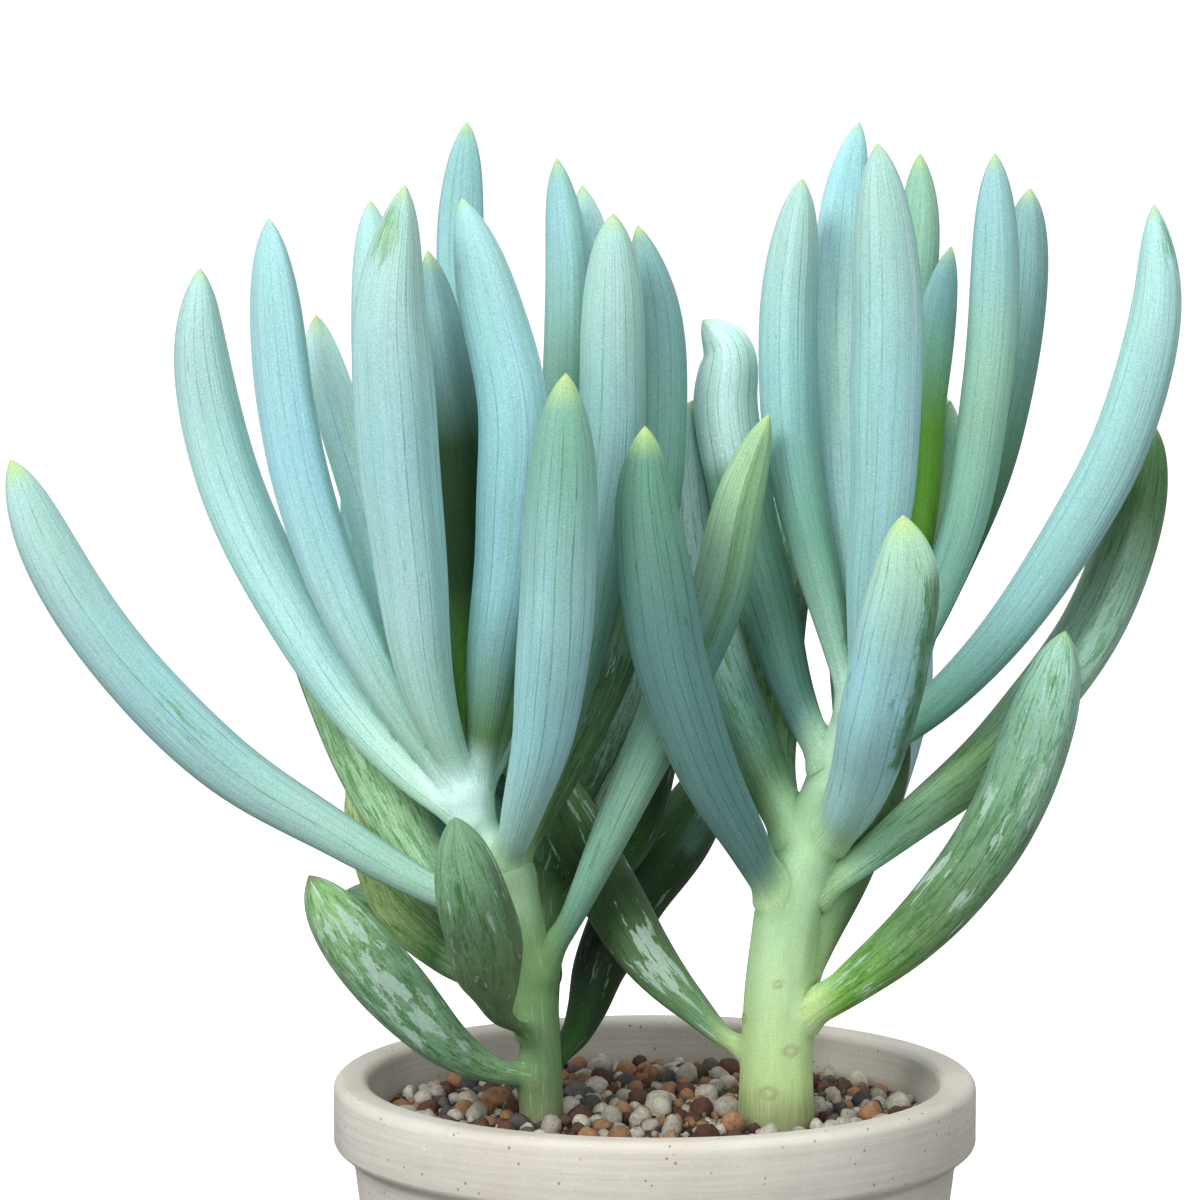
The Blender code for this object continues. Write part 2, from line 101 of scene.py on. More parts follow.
# Each stem: picture points from the soil to the top, its depth, and its radius at the soil and at the top
STEMS = {
    "leafy_stem_left": {
        "points": ((541, 1062), (536, 985), (515, 885), (478, 828), (462, 775)),
        "depth": -0.008,
        "radii": (0.0034, 0.0026),
    },
    "leafy_stem_right": {
        "points": ((777, 1062), (779, 985), (788, 915), (811, 838), (842, 765), (866, 700)),
        "depth": -0.008,
        "radii": (0.0060, 0.0032),
    },
    "leafy_stem_back": {
        "points": ((543, 1052), (541, 985), (543, 915), (540, 850), (548, 790)),
        "depth": 0.016,
        "radii": (0.0029, 0.0024),
    },
}

# Each leaf: how far its tip reaches away from (+) or towards (-) the viewer, its greatest width, and its
# picture points from root to tip, across and down in turn
LEAVES = {
    "leafy_stem_left": {
        "far_left": (-0.005, 0.0117, (515, 924, 423, 885, 333, 834, 226, 765, 110, 644, 47, 546, 11, 461)),
        "outer_left": (
            0.008, 0.0116,
            (478, 828, 408, 769, 336, 684, 270, 575, 219, 448, 201, 345, 200, 270),
        ),
        "second_left": (-0.01, 0.0104, (462, 800, 388, 690, 325, 561, 284, 400, 274, 290, 269, 220)),
        "front_left": (-0.026, 0.0127, (470, 800, 435, 712, 410, 568, 394, 430, 390, 300, 405, 187)),
        "sliver_left": (0.02, 0.0102, (462, 772, 420, 560, 388, 400, 377, 280, 370, 202)),
        "low_left": (0.006, 0.0084, (466, 785, 412, 640, 369, 514, 336, 405, 321, 350, 316, 317)),
        "inner_green": (0.004, 0.0088, (471, 765, 472, 640, 464, 520, 450, 390, 428, 252)),
        "tall_blue": (0.02, 0.0082, (473, 770, 477, 560, 470, 400, 460, 220, 467, 124)),
        "notched": (-0.014, 0.0112, (477, 785, 492, 660, 507, 530, 510, 400, 486, 288, 462, 200)),
        "teal_behind": (0.014, 0.0078, (478, 792, 540, 600, 563, 430, 568, 270, 557, 160)),
        "small_behind": (0.024, 0.0084, (479, 798, 556, 600, 590, 420, 595, 280, 582, 187)),
        "centre_front": (-0.036, 0.0118, (504, 874, 521, 822, 545, 730, 556, 600, 563, 480, 566, 375)),
        "centre_pale": (-0.008, 0.0116, (513, 870, 562, 715, 592, 575, 611, 440, 614, 320, 613, 215)),
        "centre_teal": (0.006, 0.0102, (514, 862, 600, 690, 645, 530, 656, 400, 654, 310, 638, 227)),
        "long_crossing": (
            -0.006, 0.0104,
            (539, 980, 574, 915, 628, 792, 680, 680, 722, 580, 744, 485, 768, 416),
        ),
        "front_spindle": (-0.048, 0.0122, (529, 1034, 501, 1014, 492, 981, 480, 930, 467, 880, 455, 819)),
        "bottom_left": (-0.014, 0.0127, (541, 1080, 475, 1062, 413, 1013, 365, 955, 334, 914, 310, 877)),
        "rubbed_left": (0.018, 0.0118, (519, 955, 438, 884, 376, 776, 331, 674, 292, 572)),
        "lower_green": (
            0.026, 0.0092,
            (534, 1010, 491, 978, 448, 952, 409, 920, 382, 872, 368, 815, 366, 750),
        ),
        "low_dark": (0.036, 0.01, (534, 1020, 487, 958, 436, 924, 391, 904, 346, 892)),
    },
    "leafy_stem_right": {
        "slate": (-0.026, 0.012, (784, 917, 750, 852, 694, 736, 661, 618, 645, 510, 645, 428)),
        "hooked": (0.016, 0.0114, (828, 772, 797, 700, 769, 609, 740, 500, 725, 400, 727, 350, 704, 321)),
        "tall_left": (0.004, 0.0103, (852, 717, 839, 650, 812, 546, 788, 420, 788, 310, 802, 180)),
        "tall_back": (0.015, 0.0092, (860, 712, 852, 580, 840, 440, 839, 300, 847, 190, 859, 124)),
        "tall_front": (-0.014, 0.0114, (863, 716, 872, 610, 882, 490, 886, 380, 886, 250, 878, 145)),
        "behind_front": (0.018, 0.0084, (868, 714, 896, 560, 910, 400, 914, 280, 920, 205, 920, 155)),
        "inner_glow": (0.005, 0.0076, (868, 722, 903, 615, 919, 500, 926, 389, 938, 310, 951, 248)),
        "small_right": (0.013, 0.0062, (868, 730, 905, 650, 932, 560, 946, 480, 950, 402)),
        "green_right": (-0.004, 0.0092, (866, 726, 914, 644, 958, 541, 987, 400, 995, 270, 995, 155)),
        "teal_right": (0.026, 0.0087, (862, 733, 931, 610, 977, 499, 1008, 389, 1023, 280, 1030, 190)),
        "far_right": (-0.006, 0.0109, (862, 755, 921, 715, 1032, 595, 1122, 440, 1157, 300, 1154, 206)),
        "folded_right": (0.01, 0.012, (812, 900, 903, 829, 1007, 737, 1090, 630, 1139, 512, 1156, 430)),
        "lower_right": (-0.012, 0.0133, (790, 1030, 862, 975, 948, 897, 1017, 792, 1048, 700, 1065, 633)),
        "front_blunt": (
            -0.034, 0.0125,
            (829, 842, 851, 804, 871, 750, 884, 693, 896, 632, 906, 570, 903, 517),
        ),
        "dark_behind": (0.014, 0.0108, (783, 1032, 813, 947, 847, 860, 876, 780, 895, 700)),
        "teal_crossed": (0.018, 0.0116, (796, 848, 752, 742, 707, 625, 684, 520, 680, 450, 692, 402)),
        "dark_sliver": (0.028, 0.01, (800, 850, 772, 776, 767, 690, 776, 590, 790, 490)),
        "low_crossing": (
            0.013, 0.0116,
            (776, 1060, 736, 1046, 687, 1002, 643, 948, 603, 880, 566, 812, 546, 758),
        ),
    },
    "leafy_stem_back": {
        "dark_right": (
            0.018, 0.0124,
            (546, 1062, 568, 1046, 587, 1010, 599, 966, 624, 913, 690, 821, 727, 747),
        ),
        "dark_middle": (0.003, 0.01, (544, 925, 583, 893, 622, 848, 648, 775, 664, 692)),
        "mottled": (0.006, 0.0112, (544, 870, 575, 790, 604, 715, 622, 640, 634, 540)),
        "yellow_stripe": (0.02, 0.0105, (546, 905, 600, 800, 638, 710, 662, 620, 674, 530)),
    },
}

# A leaf's form: its width at the root as a share of the greatest, how slim it stays above the root, and
# how full its tip is
USUAL_FORM = (0.40, 1.0, 3.3)
LEAF_FORMS = {
    "far_left": (0.37, 1.40, 4.7),
    "outer_left": (0.40, 0.85, 3.8),
    "second_left": (0.40, 0.95, 3.9),
    "front_left": (0.25, 0.90, 2.6),
    "low_left": (0.40, 0.90, 5.0),
    "tall_blue": (0.40, 0.90, 5.1),
    "teal_behind": (0.40, 0.90, 4.6),
    "small_behind": (0.40, 0.90, 5.0),
    "centre_front": (0.30, 1.00, 3.3),
    "centre_pale": (0.35, 1.00, 4.8),
    "long_crossing": (0.25, 1.20, 3.3),
    "front_spindle": (0.15, 2.40, 3.3),
    "bottom_left": (0.25, 1.70, 3.1),
    "rubbed_left": (0.35, 1.00, 4.2),
    "low_dark": (0.30, 1.00, 3.3),
    "slate": (0.36, 1.10, 3.3),
    "hooked": (0.38, 1.15, 5.4),
    "tall_left": (0.30, 1.00, 3.9),
    "tall_back": (0.40, 1.00, 3.6),
    "behind_front": (0.40, 1.00, 3.7),
    "inner_glow": (0.40, 1.00, 3.7),
    "green_right": (0.38, 1.00, 4.4),
    "teal_right": (0.38, 1.00, 5.6),
    "far_right": (0.44, 0.85, 3.2),
    "folded_right": (0.32, 1.05, 3.7),
    "lower_right": (0.28, 0.88, 4.2),
    "front_blunt": (0.38, 0.60, 3.3),
    "dark_behind": (0.30, 1.20, 3.3),
    "teal_crossed": (0.50, 1.10, 3.3),
    "dark_sliver": (0.33, 1.20, 3.3),
    "low_crossing": (0.15, 1.60, 3.3),
    "dark_right": (0.18, 1.00, 2.6),
}

# Leaves on the far side, which the photograph hides: height of the root up the stem from 0 to 1, compass
# angle from +X, spread of the tip from the root, and its rise
REAR_LEAVES = {
    "leafy_stem_left": (),
    "leafy_stem_right": (
        (0.26, 62, 0.050, 0.062),
        (0.60, 60, 0.046, 0.074),
        (0.87, 84, 0.044, 0.078),
        (0.94, 92, 0.028, 0.080),
    ),
    "leafy_stem_back": (
        (0.28, 100, 0.038, 0.056),
        (0.42, 138, 0.046, 0.060),
        (0.50, 78, 0.040, 0.074),
        (0.60, 125, 0.040, 0.078),
        (0.70, 162, 0.032, 0.078),
        (0.78, 98, 0.034, 0.086),
        (0.86, 72, 0.026, 0.090),
        (0.92, 145, 0.026, 0.090),
        (0.98, 105, 0.014, 0.068),
    ),
}
REAR_WIDTH = 0.0120
REAR_STATIONS = (0.0, 0.2, 0.45, 0.72, 1.0)
REAR_RISE_POWER = 1.2

# How fine the dressed leaves and stems are
FINE_SIDES = 28
FINE_STATIONS = 64
HIDDEN_SIDES = 20
HIDDEN_STATIONS = 44
STEM_FINE_SIDES = 64
STEM_FINE_STATIONS = 170
PATH_SAMPLES = 161

# Tints of leaf skin and of the wax bloom on it, as linear red, green and blue
# deep is painted shade, a near-black green for leaves that lie in the shade of others; glow is painted light,
# the yellow-green of light shining through a leaf
TINTS = {
    "milk": (0.67, 0.93, 0.67),
    "snow": (0.64, 0.90, 0.88),
    "reed": (0.38, 0.61, 0.59),
    "pith": (0.42, 0.67, 0.39),
    "plum": (0.17, 0.085, 0.06),
    "ice": (0.54, 0.82, 0.66),
    "frost": (0.46, 0.75, 0.81),
    "sky": (0.37, 0.68, 0.77),
    "pale": (0.43, 0.71, 0.71),
    "aqua": (0.35, 0.62, 0.65),
    "mist": (0.29, 0.54, 0.56),
    "dusk": (0.22, 0.41, 0.43),
    "jade": (0.40, 0.66, 0.53),
    "mint": (0.29, 0.53, 0.40),
    "teal": (0.20, 0.42, 0.34),
    "sea": (0.125, 0.29, 0.22),
    "slate": (0.115, 0.25, 0.245),
    "fern": (0.24, 0.43, 0.19),
    "sage": (0.17, 0.33, 0.19),
    "herb": (0.13, 0.25, 0.10),
    "moss": (0.08, 0.19, 0.07),
    "leaf": (0.04, 0.13, 0.03),
    "deep": (0.015, 0.048, 0.010),
    "glow": (0.17, 0.42, 0.05),
    "lime": (0.47, 0.64, 0.27),
    "dill": (0.33, 0.54, 0.32),
}

# Each leaf: its tints from root to tip, rubbing, veins, yellow-green of the tip, and wax patches
# Pale tints on leaves that lie in shade, such as hooked, tall_back, teal_crossed, mottled and yellow_stripe,
# are
# painted light; dark tints on leaves deep in the plant are painted shade
LOOKS = {
    "far_left": ("jade reed aqua reed", 0.1, 0.7, 0.9, 0.0),
    "outer_left": ("ice pale pale reed", 0.05, 0.6, 0.5, 0.0),
    "second_left": ("jade pale sky aqua", 0.0, 0.4, 0.2, 0.0),
    "front_left": ("jade pale aqua reed", 0.1, 0.7, 0.6, 0.0),
    "sliver_left": ("teal mist aqua pale", 0.1, 0.5, 0.4, 0.0),
    "low_left": ("mist snow snow snow", 0.1, 0.6, 0.7, 0.0),
    "inner_green": ("glow deep deep dusk", 0.2, 0.5, 0.7, 0.0),
    "tall_blue": ("teal mist mist mist", 0.1, 0.6, 0.6, 0.0),
    "notched": ("herb sky sky aqua", 0.0, 0.6, 0.4, 0.0),
    "teal_behind": ("fern mint mint mist", 0.0, 0.5, 0.6, 0.0),
    "small_behind": ("snow mist mist pale", 0.0, 0.5, 0.6, 0.0),
    "centre_front": ("reed sky aqua teal", 0.15, 0.8, 1.0, 0.1),
    "centre_pale": ("herb sea dusk reed", 0.05, 0.8, 0.6, 0.0),
    "centre_teal": ("herb sage teal dusk", 0.0, 0.6, 0.6, 0.0),
    "long_crossing": ("sea mint slate dill", 0.25, 1.0, 0.7, 0.0),
    "front_spindle": ("moss herb herb sage", 0.5, 0.6, 0.0, 0.3),
    "bottom_left": ("fern sage sage fern", 0.6, 0.5, 0.0, 0.4),
    "rubbed_left": ("mint dill dill dill", 0.6, 0.8, 0.3, 0.1),
    "lower_green": ("pith leaf lime lime", 0.65, 0.8, 0.3, 0.1),
    "low_dark": ("moss moss herb sage", 0.55, 0.6, 0.0, 0.2),
    "slate": ("slate slate slate sea", 0.15, 0.9, 0.9, 0.05),
    "hooked": ("slate sea teal snow", 0.0, 0.8, 0.3, 0.0),
    "tall_left": ("jade teal mist reed", 0.05, 0.6, 0.4, 0.0),
    "tall_back": ("jade frost snow sky", 0.05, 0.5, 0.4, 0.0),
    "tall_front": ("aqua aqua aqua reed", 0.1, 0.6, 0.4, 0.0),
    "behind_front": ("sea teal teal mint", 0.2, 0.5, 0.6, 0.0),
    "inner_glow": ("glow glow glow mist", 0.05, 0.4, 0.6, 0.0),
    "small_right": ("moss jade milk jade", 0.1, 0.5, 0.6, 0.0),
    "green_right": ("teal teal mint mist", 0.05, 0.6, 0.6, 0.0),
    "teal_right": ("moss leaf sea dusk", 0.2, 0.7, 0.6, 0.0),
    "far_right": ("sea mist aqua pale", 0.05, 0.7, 0.5, 0.0),
    "folded_right": ("mint fern jade moss", 0.45, 0.9, 0.2, 0.1),
    "lower_right": ("glow herb sage mint", 0.5, 0.8, 0.4, 0.4),
    "front_blunt": ("pale aqua sky jade", 0.2, 0.8, 0.9, 0.1),
    "dark_behind": ("deep leaf herb deep", 0.3, 0.4, 0.0, 0.0),
    "teal_crossed": ("herb teal snow reed", 0.35, 0.8, 0.5, 0.1),
    "dark_sliver": ("mint fern sage milk", 0.5, 0.6, 0.2, 0.0),
    "low_crossing": ("sage herb deep herb", 0.4, 0.8, 0.0, 0.4),
    "dark_right": ("deep deep deep moss", 0.4, 0.7, 0.0, 0.2),
    "dark_middle": ("deep leaf deep leaf", 0.4, 0.7, 0.0, 0.2),
    "mottled": ("leaf sage snow fern", 0.7, 0.9, 0.3, 0.6),
    "yellow_stripe": ("herb milk milk lime", 0.6, 0.9, 0.4, 0.1),
}
HIDDEN_LOOKS = (
    ("sea teal mist aqua", 0.15, 0.6, 0.5, 0.0),
    ("teal mist aqua pale", 0.2, 0.6, 0.4, 0.0),
    ("sea teal teal mist", 0.25, 0.7, 0.6, 0.0),
    ("teal mist aqua sky", 0.15, 0.5, 0.4, 0.1),
    ("mint aqua aqua pale", 0.1, 0.6, 0.5, 0.0),
)
TINT_STOPS = (0.10, 0.35, 0.62, 0.88)

# Stems: tints from the soil to the top
STEM_LOOKS = {
    "leafy_stem_left": "herb herb dill snow",
    "leafy_stem_right": "lime pith pith ice",
    "leafy_stem_back": "leaf moss moss sage",
}

# Marks on the side of a leaf that faces the viewer: kind, from and to along the leaf (0 root, 1 tip), from
# and to across it (-1 left edge, 1 right edge, seen with the tip up), and strength
# The teal, moss and deep marks are painted shade on the parts of leaves that lie in shade; the snow mark on
# hooked is painted light
MARKS = {
    "outer_left": (("teal", 0.15, 0.98, 0.86, 1.2, 0.45),),
    "second_left": (("teal", 0.15, 0.98, 0.86, 1.2, 0.45),),
    "front_left": (("fern", 0.90, 0.97, -0.9, 0.1, 0.6), ("rub", 0.88, 0.98, -0.9, 0.2, 0.5)),
    "hooked": (("snow", 0.68, 1.2, -2.0, 2.0, 0.9),),
    "front_blunt": (("rub", 0.36, 0.88, 0.5, 1.1, 1.0), ("moss", 0.36, 0.88, 0.62, 1.1, 0.55)),
    "far_right": (("rub", 0.90, 0.98, 0.2, 1.0, 0.8),),
    "far_left": (("rub", 0.50, 0.60, -0.5, 0.5, 0.45),),
    "rubbed_left": (("plum", 0.30, 0.98, -1.3, -0.94, 0.6), ("plum", 0.30, 0.98, 0.96, 1.3, 0.4)),
    "folded_right": (("deep", 0.52, 0.90, -1.1, -0.15, 0.5), ("rub", 0.30, 0.55, -0.6, 0.8, 0.4)),
    "low_crossing": (("wax", 0.31, 0.50, -0.7, 0.7, 1.0), ("deep", 0.55, 0.9, -1.2, 0.2, 0.6)),
    "long_crossing": (("moss", 0.55, 0.98, 0.05, 0.35, 0.7),),
    "lower_right": (("wax", 0.50, 0.85, 0.2, 0.8, 0.5),),
    "bottom_left": (
        ("wax", 0.45, 0.92, -0.7, 0.5, 0.7),
        ("plum", 0.4, 1.1, -1.3, -0.92, 0.6),
        ("plum", 0.98, 1.1, -1.0, 1.0, 0.8),
    ),
    "front_spindle": (("deep", 0.25, 0.9, 0.80, 1.2, 0.5), ("deep", 0.25, 0.8, -1.2, -0.85, 0.4)),
    "centre_teal": (
        ("rub", 0.02, 0.36, -1.2, 1.2, 0.75),
        ("deep", 0.02, 0.34, -0.2, 1.2, 0.4),
        ("wax", 0.1, 0.36, -1.1, 0.4, 0.35),
    ),
    "dark_right": (("wax", 0.70, 0.90, 0.0, 0.7, 0.6), ("mist", 0.70, 0.90, 0.1, 0.6, 0.3)),
    "mottled": (("wax", 0.35, 0.70, -0.6, 0.8, 0.6),),
    "teal_crossed": (("rub", 0.10, 0.45, -0.3, 0.9, 0.5),),
}

# Leaves that carry a fold: depth as a share of the half width, its angle round the leaf, and where it starts
FOLDS = {"folded_right": (0.16, 235, 0.30), "far_left": (0.05, 300, 0.30), "slate": (0.05, 290, 0.2)}

# Leaves a little broader than in the plain part, and how strong the painted shade among foliage is on each
# leaf
BROADER = {"dark_sliver": 1.2, "centre_teal": 1.1}
PAINTED_SHADE_STRENGTH = {
    "hooked": 0.0,
    "tall_back": 0.0,
    "small_right": 0.0,
    "teal_crossed": 0.5,
    "mottled": 0.2,
    "yellow_stripe": 0.0,
    "low_left": 0.4,
    "dark_sliver": 0.3,
    "rubbed_left": 0.5,
    "lower_green": 0.7,
}

# Where old leaves fell: height along the stem, compass angle, and size; then their raised rim and their pit
SCARS = {
    "leafy_stem_left": ((0.20, 250, 0.0012), (0.33, 300, 0.0011), (0.26, 90, 0.0012), (0.14, 170, 0.0012)),
    "leafy_stem_right": (
        (0.15, 255, 0.0017),
        (0.24, 290, 0.0015),
        (0.38, 265, 0.0010),
        (0.20, 100, 0.0017),
        (0.12, 20, 0.0016),
        (0.30, 190, 0.0014),
    ),
    "leafy_stem_back": ((0.22, 80, 0.0012), (0.30, 255, 0.0010), (0.66, 260, 0.0010), (0.14, 190, 0.0012)),
}
SCAR_RIM = 0.00016
SCAR_PIT = 0.00022
SCAR_SQUASH = 1.5

# A leaf's tip beyond its last picture point, the last station, how the tip draws in, how square a leaf's
# section is, and its slow and quick bends
TIP_REACH = 0.00035
LAST_STATION = 0.9992
CUSP = 0.32
CUSP_REACH = 0.0011
SQUARENESS = 0.84
SLOW_BEND = 0.00022
QUICK_BEND = 0.00010

# Soft planes round leaves and ribs round stems: depth as a share of the girth, number round, and twist
LEAF_PLANES = ((0.013, 6, 1.1), (0.011, 4, -1.7))
STEM_RIBS = ((0.014, 5, 2.0), (0.010, 9, -3.0))

# The small curve where a leaf grows out of its stem, how far up it the stem's colour and soft joint reach,
# how the stem swells under it, how deep the stem stands in the soil, where its tints are reached, and how it
# swells at the soil
FLARE = 0.0013
FLARE_REACH = 0.0034
ROOT_FADE = 0.0075
ROOT_SOFTNESS = 0.0026
SWELLING = {"leafy_stem_left": 0.0013, "leafy_stem_right": 0.0009, "leafy_stem_back": 0.0009}
STEM_SUNK = 0.006
STEM_STOPS = (0.12, 0.55, 0.74, 0.95)
FOOT_SWELLING = 0.10
FOOT_REACH = 0.012

# How smooth the paths of leaves and stems are, in samples, and the step that their direction is taken over
LEAF_EASE = 2.2
STEM_EASE = 4.0
SLOPE_STEP = 0.012
AXIS_SAMPLES = 70

# Painted shade: vertices that face close foliage get a darker colour
# Looking for close foliage: lines of sight from a point, the turn from each to the next, where they start
# and end, every how many vertices one is tried, and how much less foliage counts at the end of a line
SIGHT_LINES = 12
GOLDEN_TURN = 2.399963
SIGHT_START = 0.0010
SIGHT_REACH = 0.020
SIGHT_SKIP = 3
SIGHT_FADE = 0.6
ODD_DIRECTION = (0.37, 0.81, 0.45)

# How softly a mark ends along and across its leaf, and how it fades on the side that faces away
EDGE_ALONG = 0.05
EDGE_ACROSS = 0.22
FRONT_FADE = 3.0
FRONT_START = 0.6

# Veins round a leaf, and colours of the skins
VEINS_ROUND = 17.0
TIP_GREEN = (0.40, 0.60, 0.24)
TIP_YELLOW = (0.48, 0.62, 0.25)
THICK_BLOOM = (0.44, 0.60, 0.52)
CORKY_SPOT = (0.10, 0.14, 0.07)
PALE_STREAK = (0.60, 0.80, 0.52)
BARK = (0.20, 0.19, 0.10)
SCAR_BROWN = (0.26, 0.24, 0.12)

# Pot and soil, dressed, with fine lines turned on the pot and lumps of the soil, each with its depth, how
# close they are and a shift; then the mound at each stem
POT_FINE_SIDES = 160
SOIL_FINE_SIDES = 160
SOIL_FINE_RINGS = 60
DRILL_SIDES = 40
DRILL_OVERRUN = 0.004
SHARP_ANGLE = math.radians(38)
BASE_RINGS = (0.0, 0.012, 0.026)
WALL_STEP = 0.0022
TURNING_LINES = ((0.00005, 1900.0, 0.0), (0.00004, 743.0, 1.0))
SOIL_LUMPS = ((0.0011, 90, 3.0), (0.0007, 260, 8.0), (0.0004, 700, 5.0))
MOUND = 0.0009
MOUND_REACH = 0.009
SOIL_DROP = 0.0006

# Grains of grit: how many are tried, their usual size and its spread, the least and greatest, the size from
# which they are finer, how closely they lie, and their lumps and flats
GRAIN_TRIES = 5200
GRAIN_SIZE = 0.00095
GRAIN_SPREAD = 0.42
GRAIN_LEAST = 0.0004
GRAIN_MOST = 0.0026
GRAIN_COARSE = 0.0010
GRAIN_SPACING = 0.86
GRAIN_LUMPS = 0.10
GRAIN_FLATS = 6

# Each kind of grain: its tint and its share
GRAINS = {
    "pumice": ((0.42, 0.39, 0.33), 0.42),
    "clay": ((0.30, 0.165, 0.085), 0.24),
    "lava": ((0.10, 0.048, 0.035), 0.14),
    "slate": ((0.085, 0.082, 0.078), 0.12),
    "bark": ((0.085, 0.05, 0.028), 0.08),
}

# Light: name, place, size across, power and colour; the lamps face the lit point. The sky's brightness
# below, at eye level and above, and how far up the first two are
LIT_POINT = (0.0, 0.0, 0.17)
LIGHTS = (
    ("key", (-0.80, -1.08, 1.05), 0.75, 19.0, (1.0, 0.99, 0.965)),
    ("front", (0.25, -1.5, 0.55), 1.1, 7.8, (0.97, 0.99, 1.0)),
    ("top", (0.1, 0.25, 1.5), 0.8, 7.5, (1.0, 1.0, 1.0)),
)
SKY = (0.22, 0.46, 0.76)
SKY_LOW = 0.30
SKY_MIDDLE = 0.52
WHITE = (1.0, 1.0, 1.0, 1.0)

# The floor's glow, and how far it reaches to the sides and behind
FLOOR_GLOW = 0.80
FLOOR_SIDE = 9.0
FLOOR_BACK = 30.0

# The camera's sensor width in millimetres, and the nearest and farthest that it sees
SENSOR_WIDTH = 36.0
NEAREST = 0.02
FARTHEST = 100.0

# Each shoot, and the stem that it stands for
SHOOTS = {
    "shoot_left": "leafy_stem_left",
    "shoot_right": "leafy_stem_right",
    "shoot_back": "leafy_stem_back",
}


def lengths_along(points):
    """Distance along a line of points, from 0 at the first."""
    return np.concatenate(([0.0], np.cumsum(np.linalg.norm(np.diff(points, axis=0), axis=1))))


def unit(vectors):
    """The same directions, each 1 long."""
    return vectors / np.linalg.norm(vectors, axis=-1, keepdims=True)


def level_direction(compass):
    """The level direction at a compass angle in degrees from +X."""
    angle = math.radians(compass)
    return np.array((math.cos(angle), math.sin(angle), 0.0))


def soft_step(share):
    """A share from 0 to 1, with soft ends."""
    return share * share * (3 - 2 * share)


def place(across, down, depth):
    """The point at a given depth (world Y) that is seen at a pixel of the photograph."""
    sideways = (across - PICTURE_MIDDLE) * PIXEL * VIEW_RIGHT
    upwards = (PICTURE_MIDDLE - down) * PIXEL * VIEW_UP
    sight = VIEW_DISTANCE * VIEW_AHEAD + sideways + upwards
    return EYE + sight * (depth - EYE[1]) / sight[1]


def smooth_path(points, stations):
    """Points along a smooth curve through the given points, at stations from 0 to 1 of its length."""
    points = np.asarray(points, dtype=float)
    knots = lengths_along(points)
    slopes = np.gradient(points, knots, axis=0)
    where = np.asarray(stations) * knots[-1]
    span = np.clip(np.searchsorted(knots, where, side="right") - 1, 0, len(knots) - 2)
    length = (knots[span + 1] - knots[span])[:, None]
    t = (where - knots[span])[:, None] / length
    return (
        (2 * t**3 - 3 * t**2 + 1) * points[span]
        + (3 * t**2 - 2 * t**3) * points[span + 1]
        + (t**3 - 2 * t**2 + t) * length * slopes[span]
        + (t**3 - t**2) * length * slopes[span + 1]
    )


def seen_leaf_path(stem, picture_points, reach):
    """Control points of a leaf read off the photograph: it leaves the stem fast and then stands up."""
    flat = np.array(picture_points, dtype=float).reshape(-1, 2)
    along = lengths_along(flat)
    along /= along[-1]
    depths = STEMS[stem]["depth"] + reach * (1.0 - (1.0 - along) ** 2)
    return [place(x, y, depth) for (x, y), depth in zip(flat, depths)]


def rear_leaf_path(stem, height, compass, spread, rise):
    """Control points of a hidden leaf, from the stem's middle outwards and up."""
    root = smooth_path(stem_path(stem), [height])[0]
    outward = level_direction(compass)
    return [
        root + spread * (1.0 - (1.0 - s) ** 2) * outward + rise * s**REAR_RISE_POWER * UP
        for s in REAR_STATIONS
    ]


def stem_path(stem):
    """Control points of a stem above the soil."""
    return [place(x, y, STEMS[stem]["depth"]) for x, y in STEMS[stem]["points"]]


def stem_radius(stem, stations):
    """Radius of a stem at stations from 0 at the soil to 1 at the top."""
    foot_radius, top_radius = STEMS[stem]["radii"]
    return foot_radius + (top_radius - foot_radius) * stations**STEM_TAPER


def stem_axis(stem):
    """Points along a stem's middle, and its radius at each."""
    stations = np.linspace(0, 1, AXIS_SAMPLES)
    return smooth_path(stem_path(stem), stations), stem_radius(stem, stations)


def leaf_girth(s, form):
    """Share of a leaf's greatest width at s, from the narrow root to the pointed tip."""
    root_width, slimness, fullness = form
    growth = np.sin(math.pi / 2 * np.clip(s / WIDEST_AT, 0, 1)) ** slimness
    past = np.clip((s - WIDEST_AT) / (1.0 - WIDEST_AT), 0, 1)
    return (root_width + (1.0 - root_width) * growth) * (1.0 - past**fullness) ** TIP_ROUNDNESS


def all_leaves(stem):
    """Control points, width and form of every leaf on a stem."""
    leaves = {}
    for name, (reach, width, points) in LEAVES[stem].items():
        leaves[name] = (seen_leaf_path(stem, points, reach), width, LEAF_FORMS.get(name, USUAL_FORM))
    for number, rear_leaf in enumerate(REAR_LEAVES[stem]):
        leaves[f"rear_{number + 1}"] = (rear_leaf_path(stem, *rear_leaf), REAR_WIDTH, USUAL_FORM)
    return leaves


def mesh_object(name, points, faces, values=None):
    """A smooth-shaded mesh object, with named vertex values: three numbers a vertex each."""
    mesh = bpy.data.meshes.new(name)
    mesh.from_pydata([tuple(p) for p in points], [], faces)
    for key, rows in (values or {}).items():
        rows = np.asarray(rows, dtype=np.float32)
        if key.endswith("tint"):
            layer = mesh.attributes.new(key, "FLOAT_COLOR", "POINT")
            layer.data.foreach_set("color", np.insert(rows, 3, 1.0, axis=1).ravel())
        else:
            layer = mesh.attributes.new(key, "FLOAT_VECTOR", "POINT")
            layer.data.foreach_set("vector", rows.ravel())
    mesh.update()
    mesh.shade_smooth()
    piece = bpy.data.objects.new(name, mesh)
    bpy.context.scene.collection.objects.link(piece)
    return piece


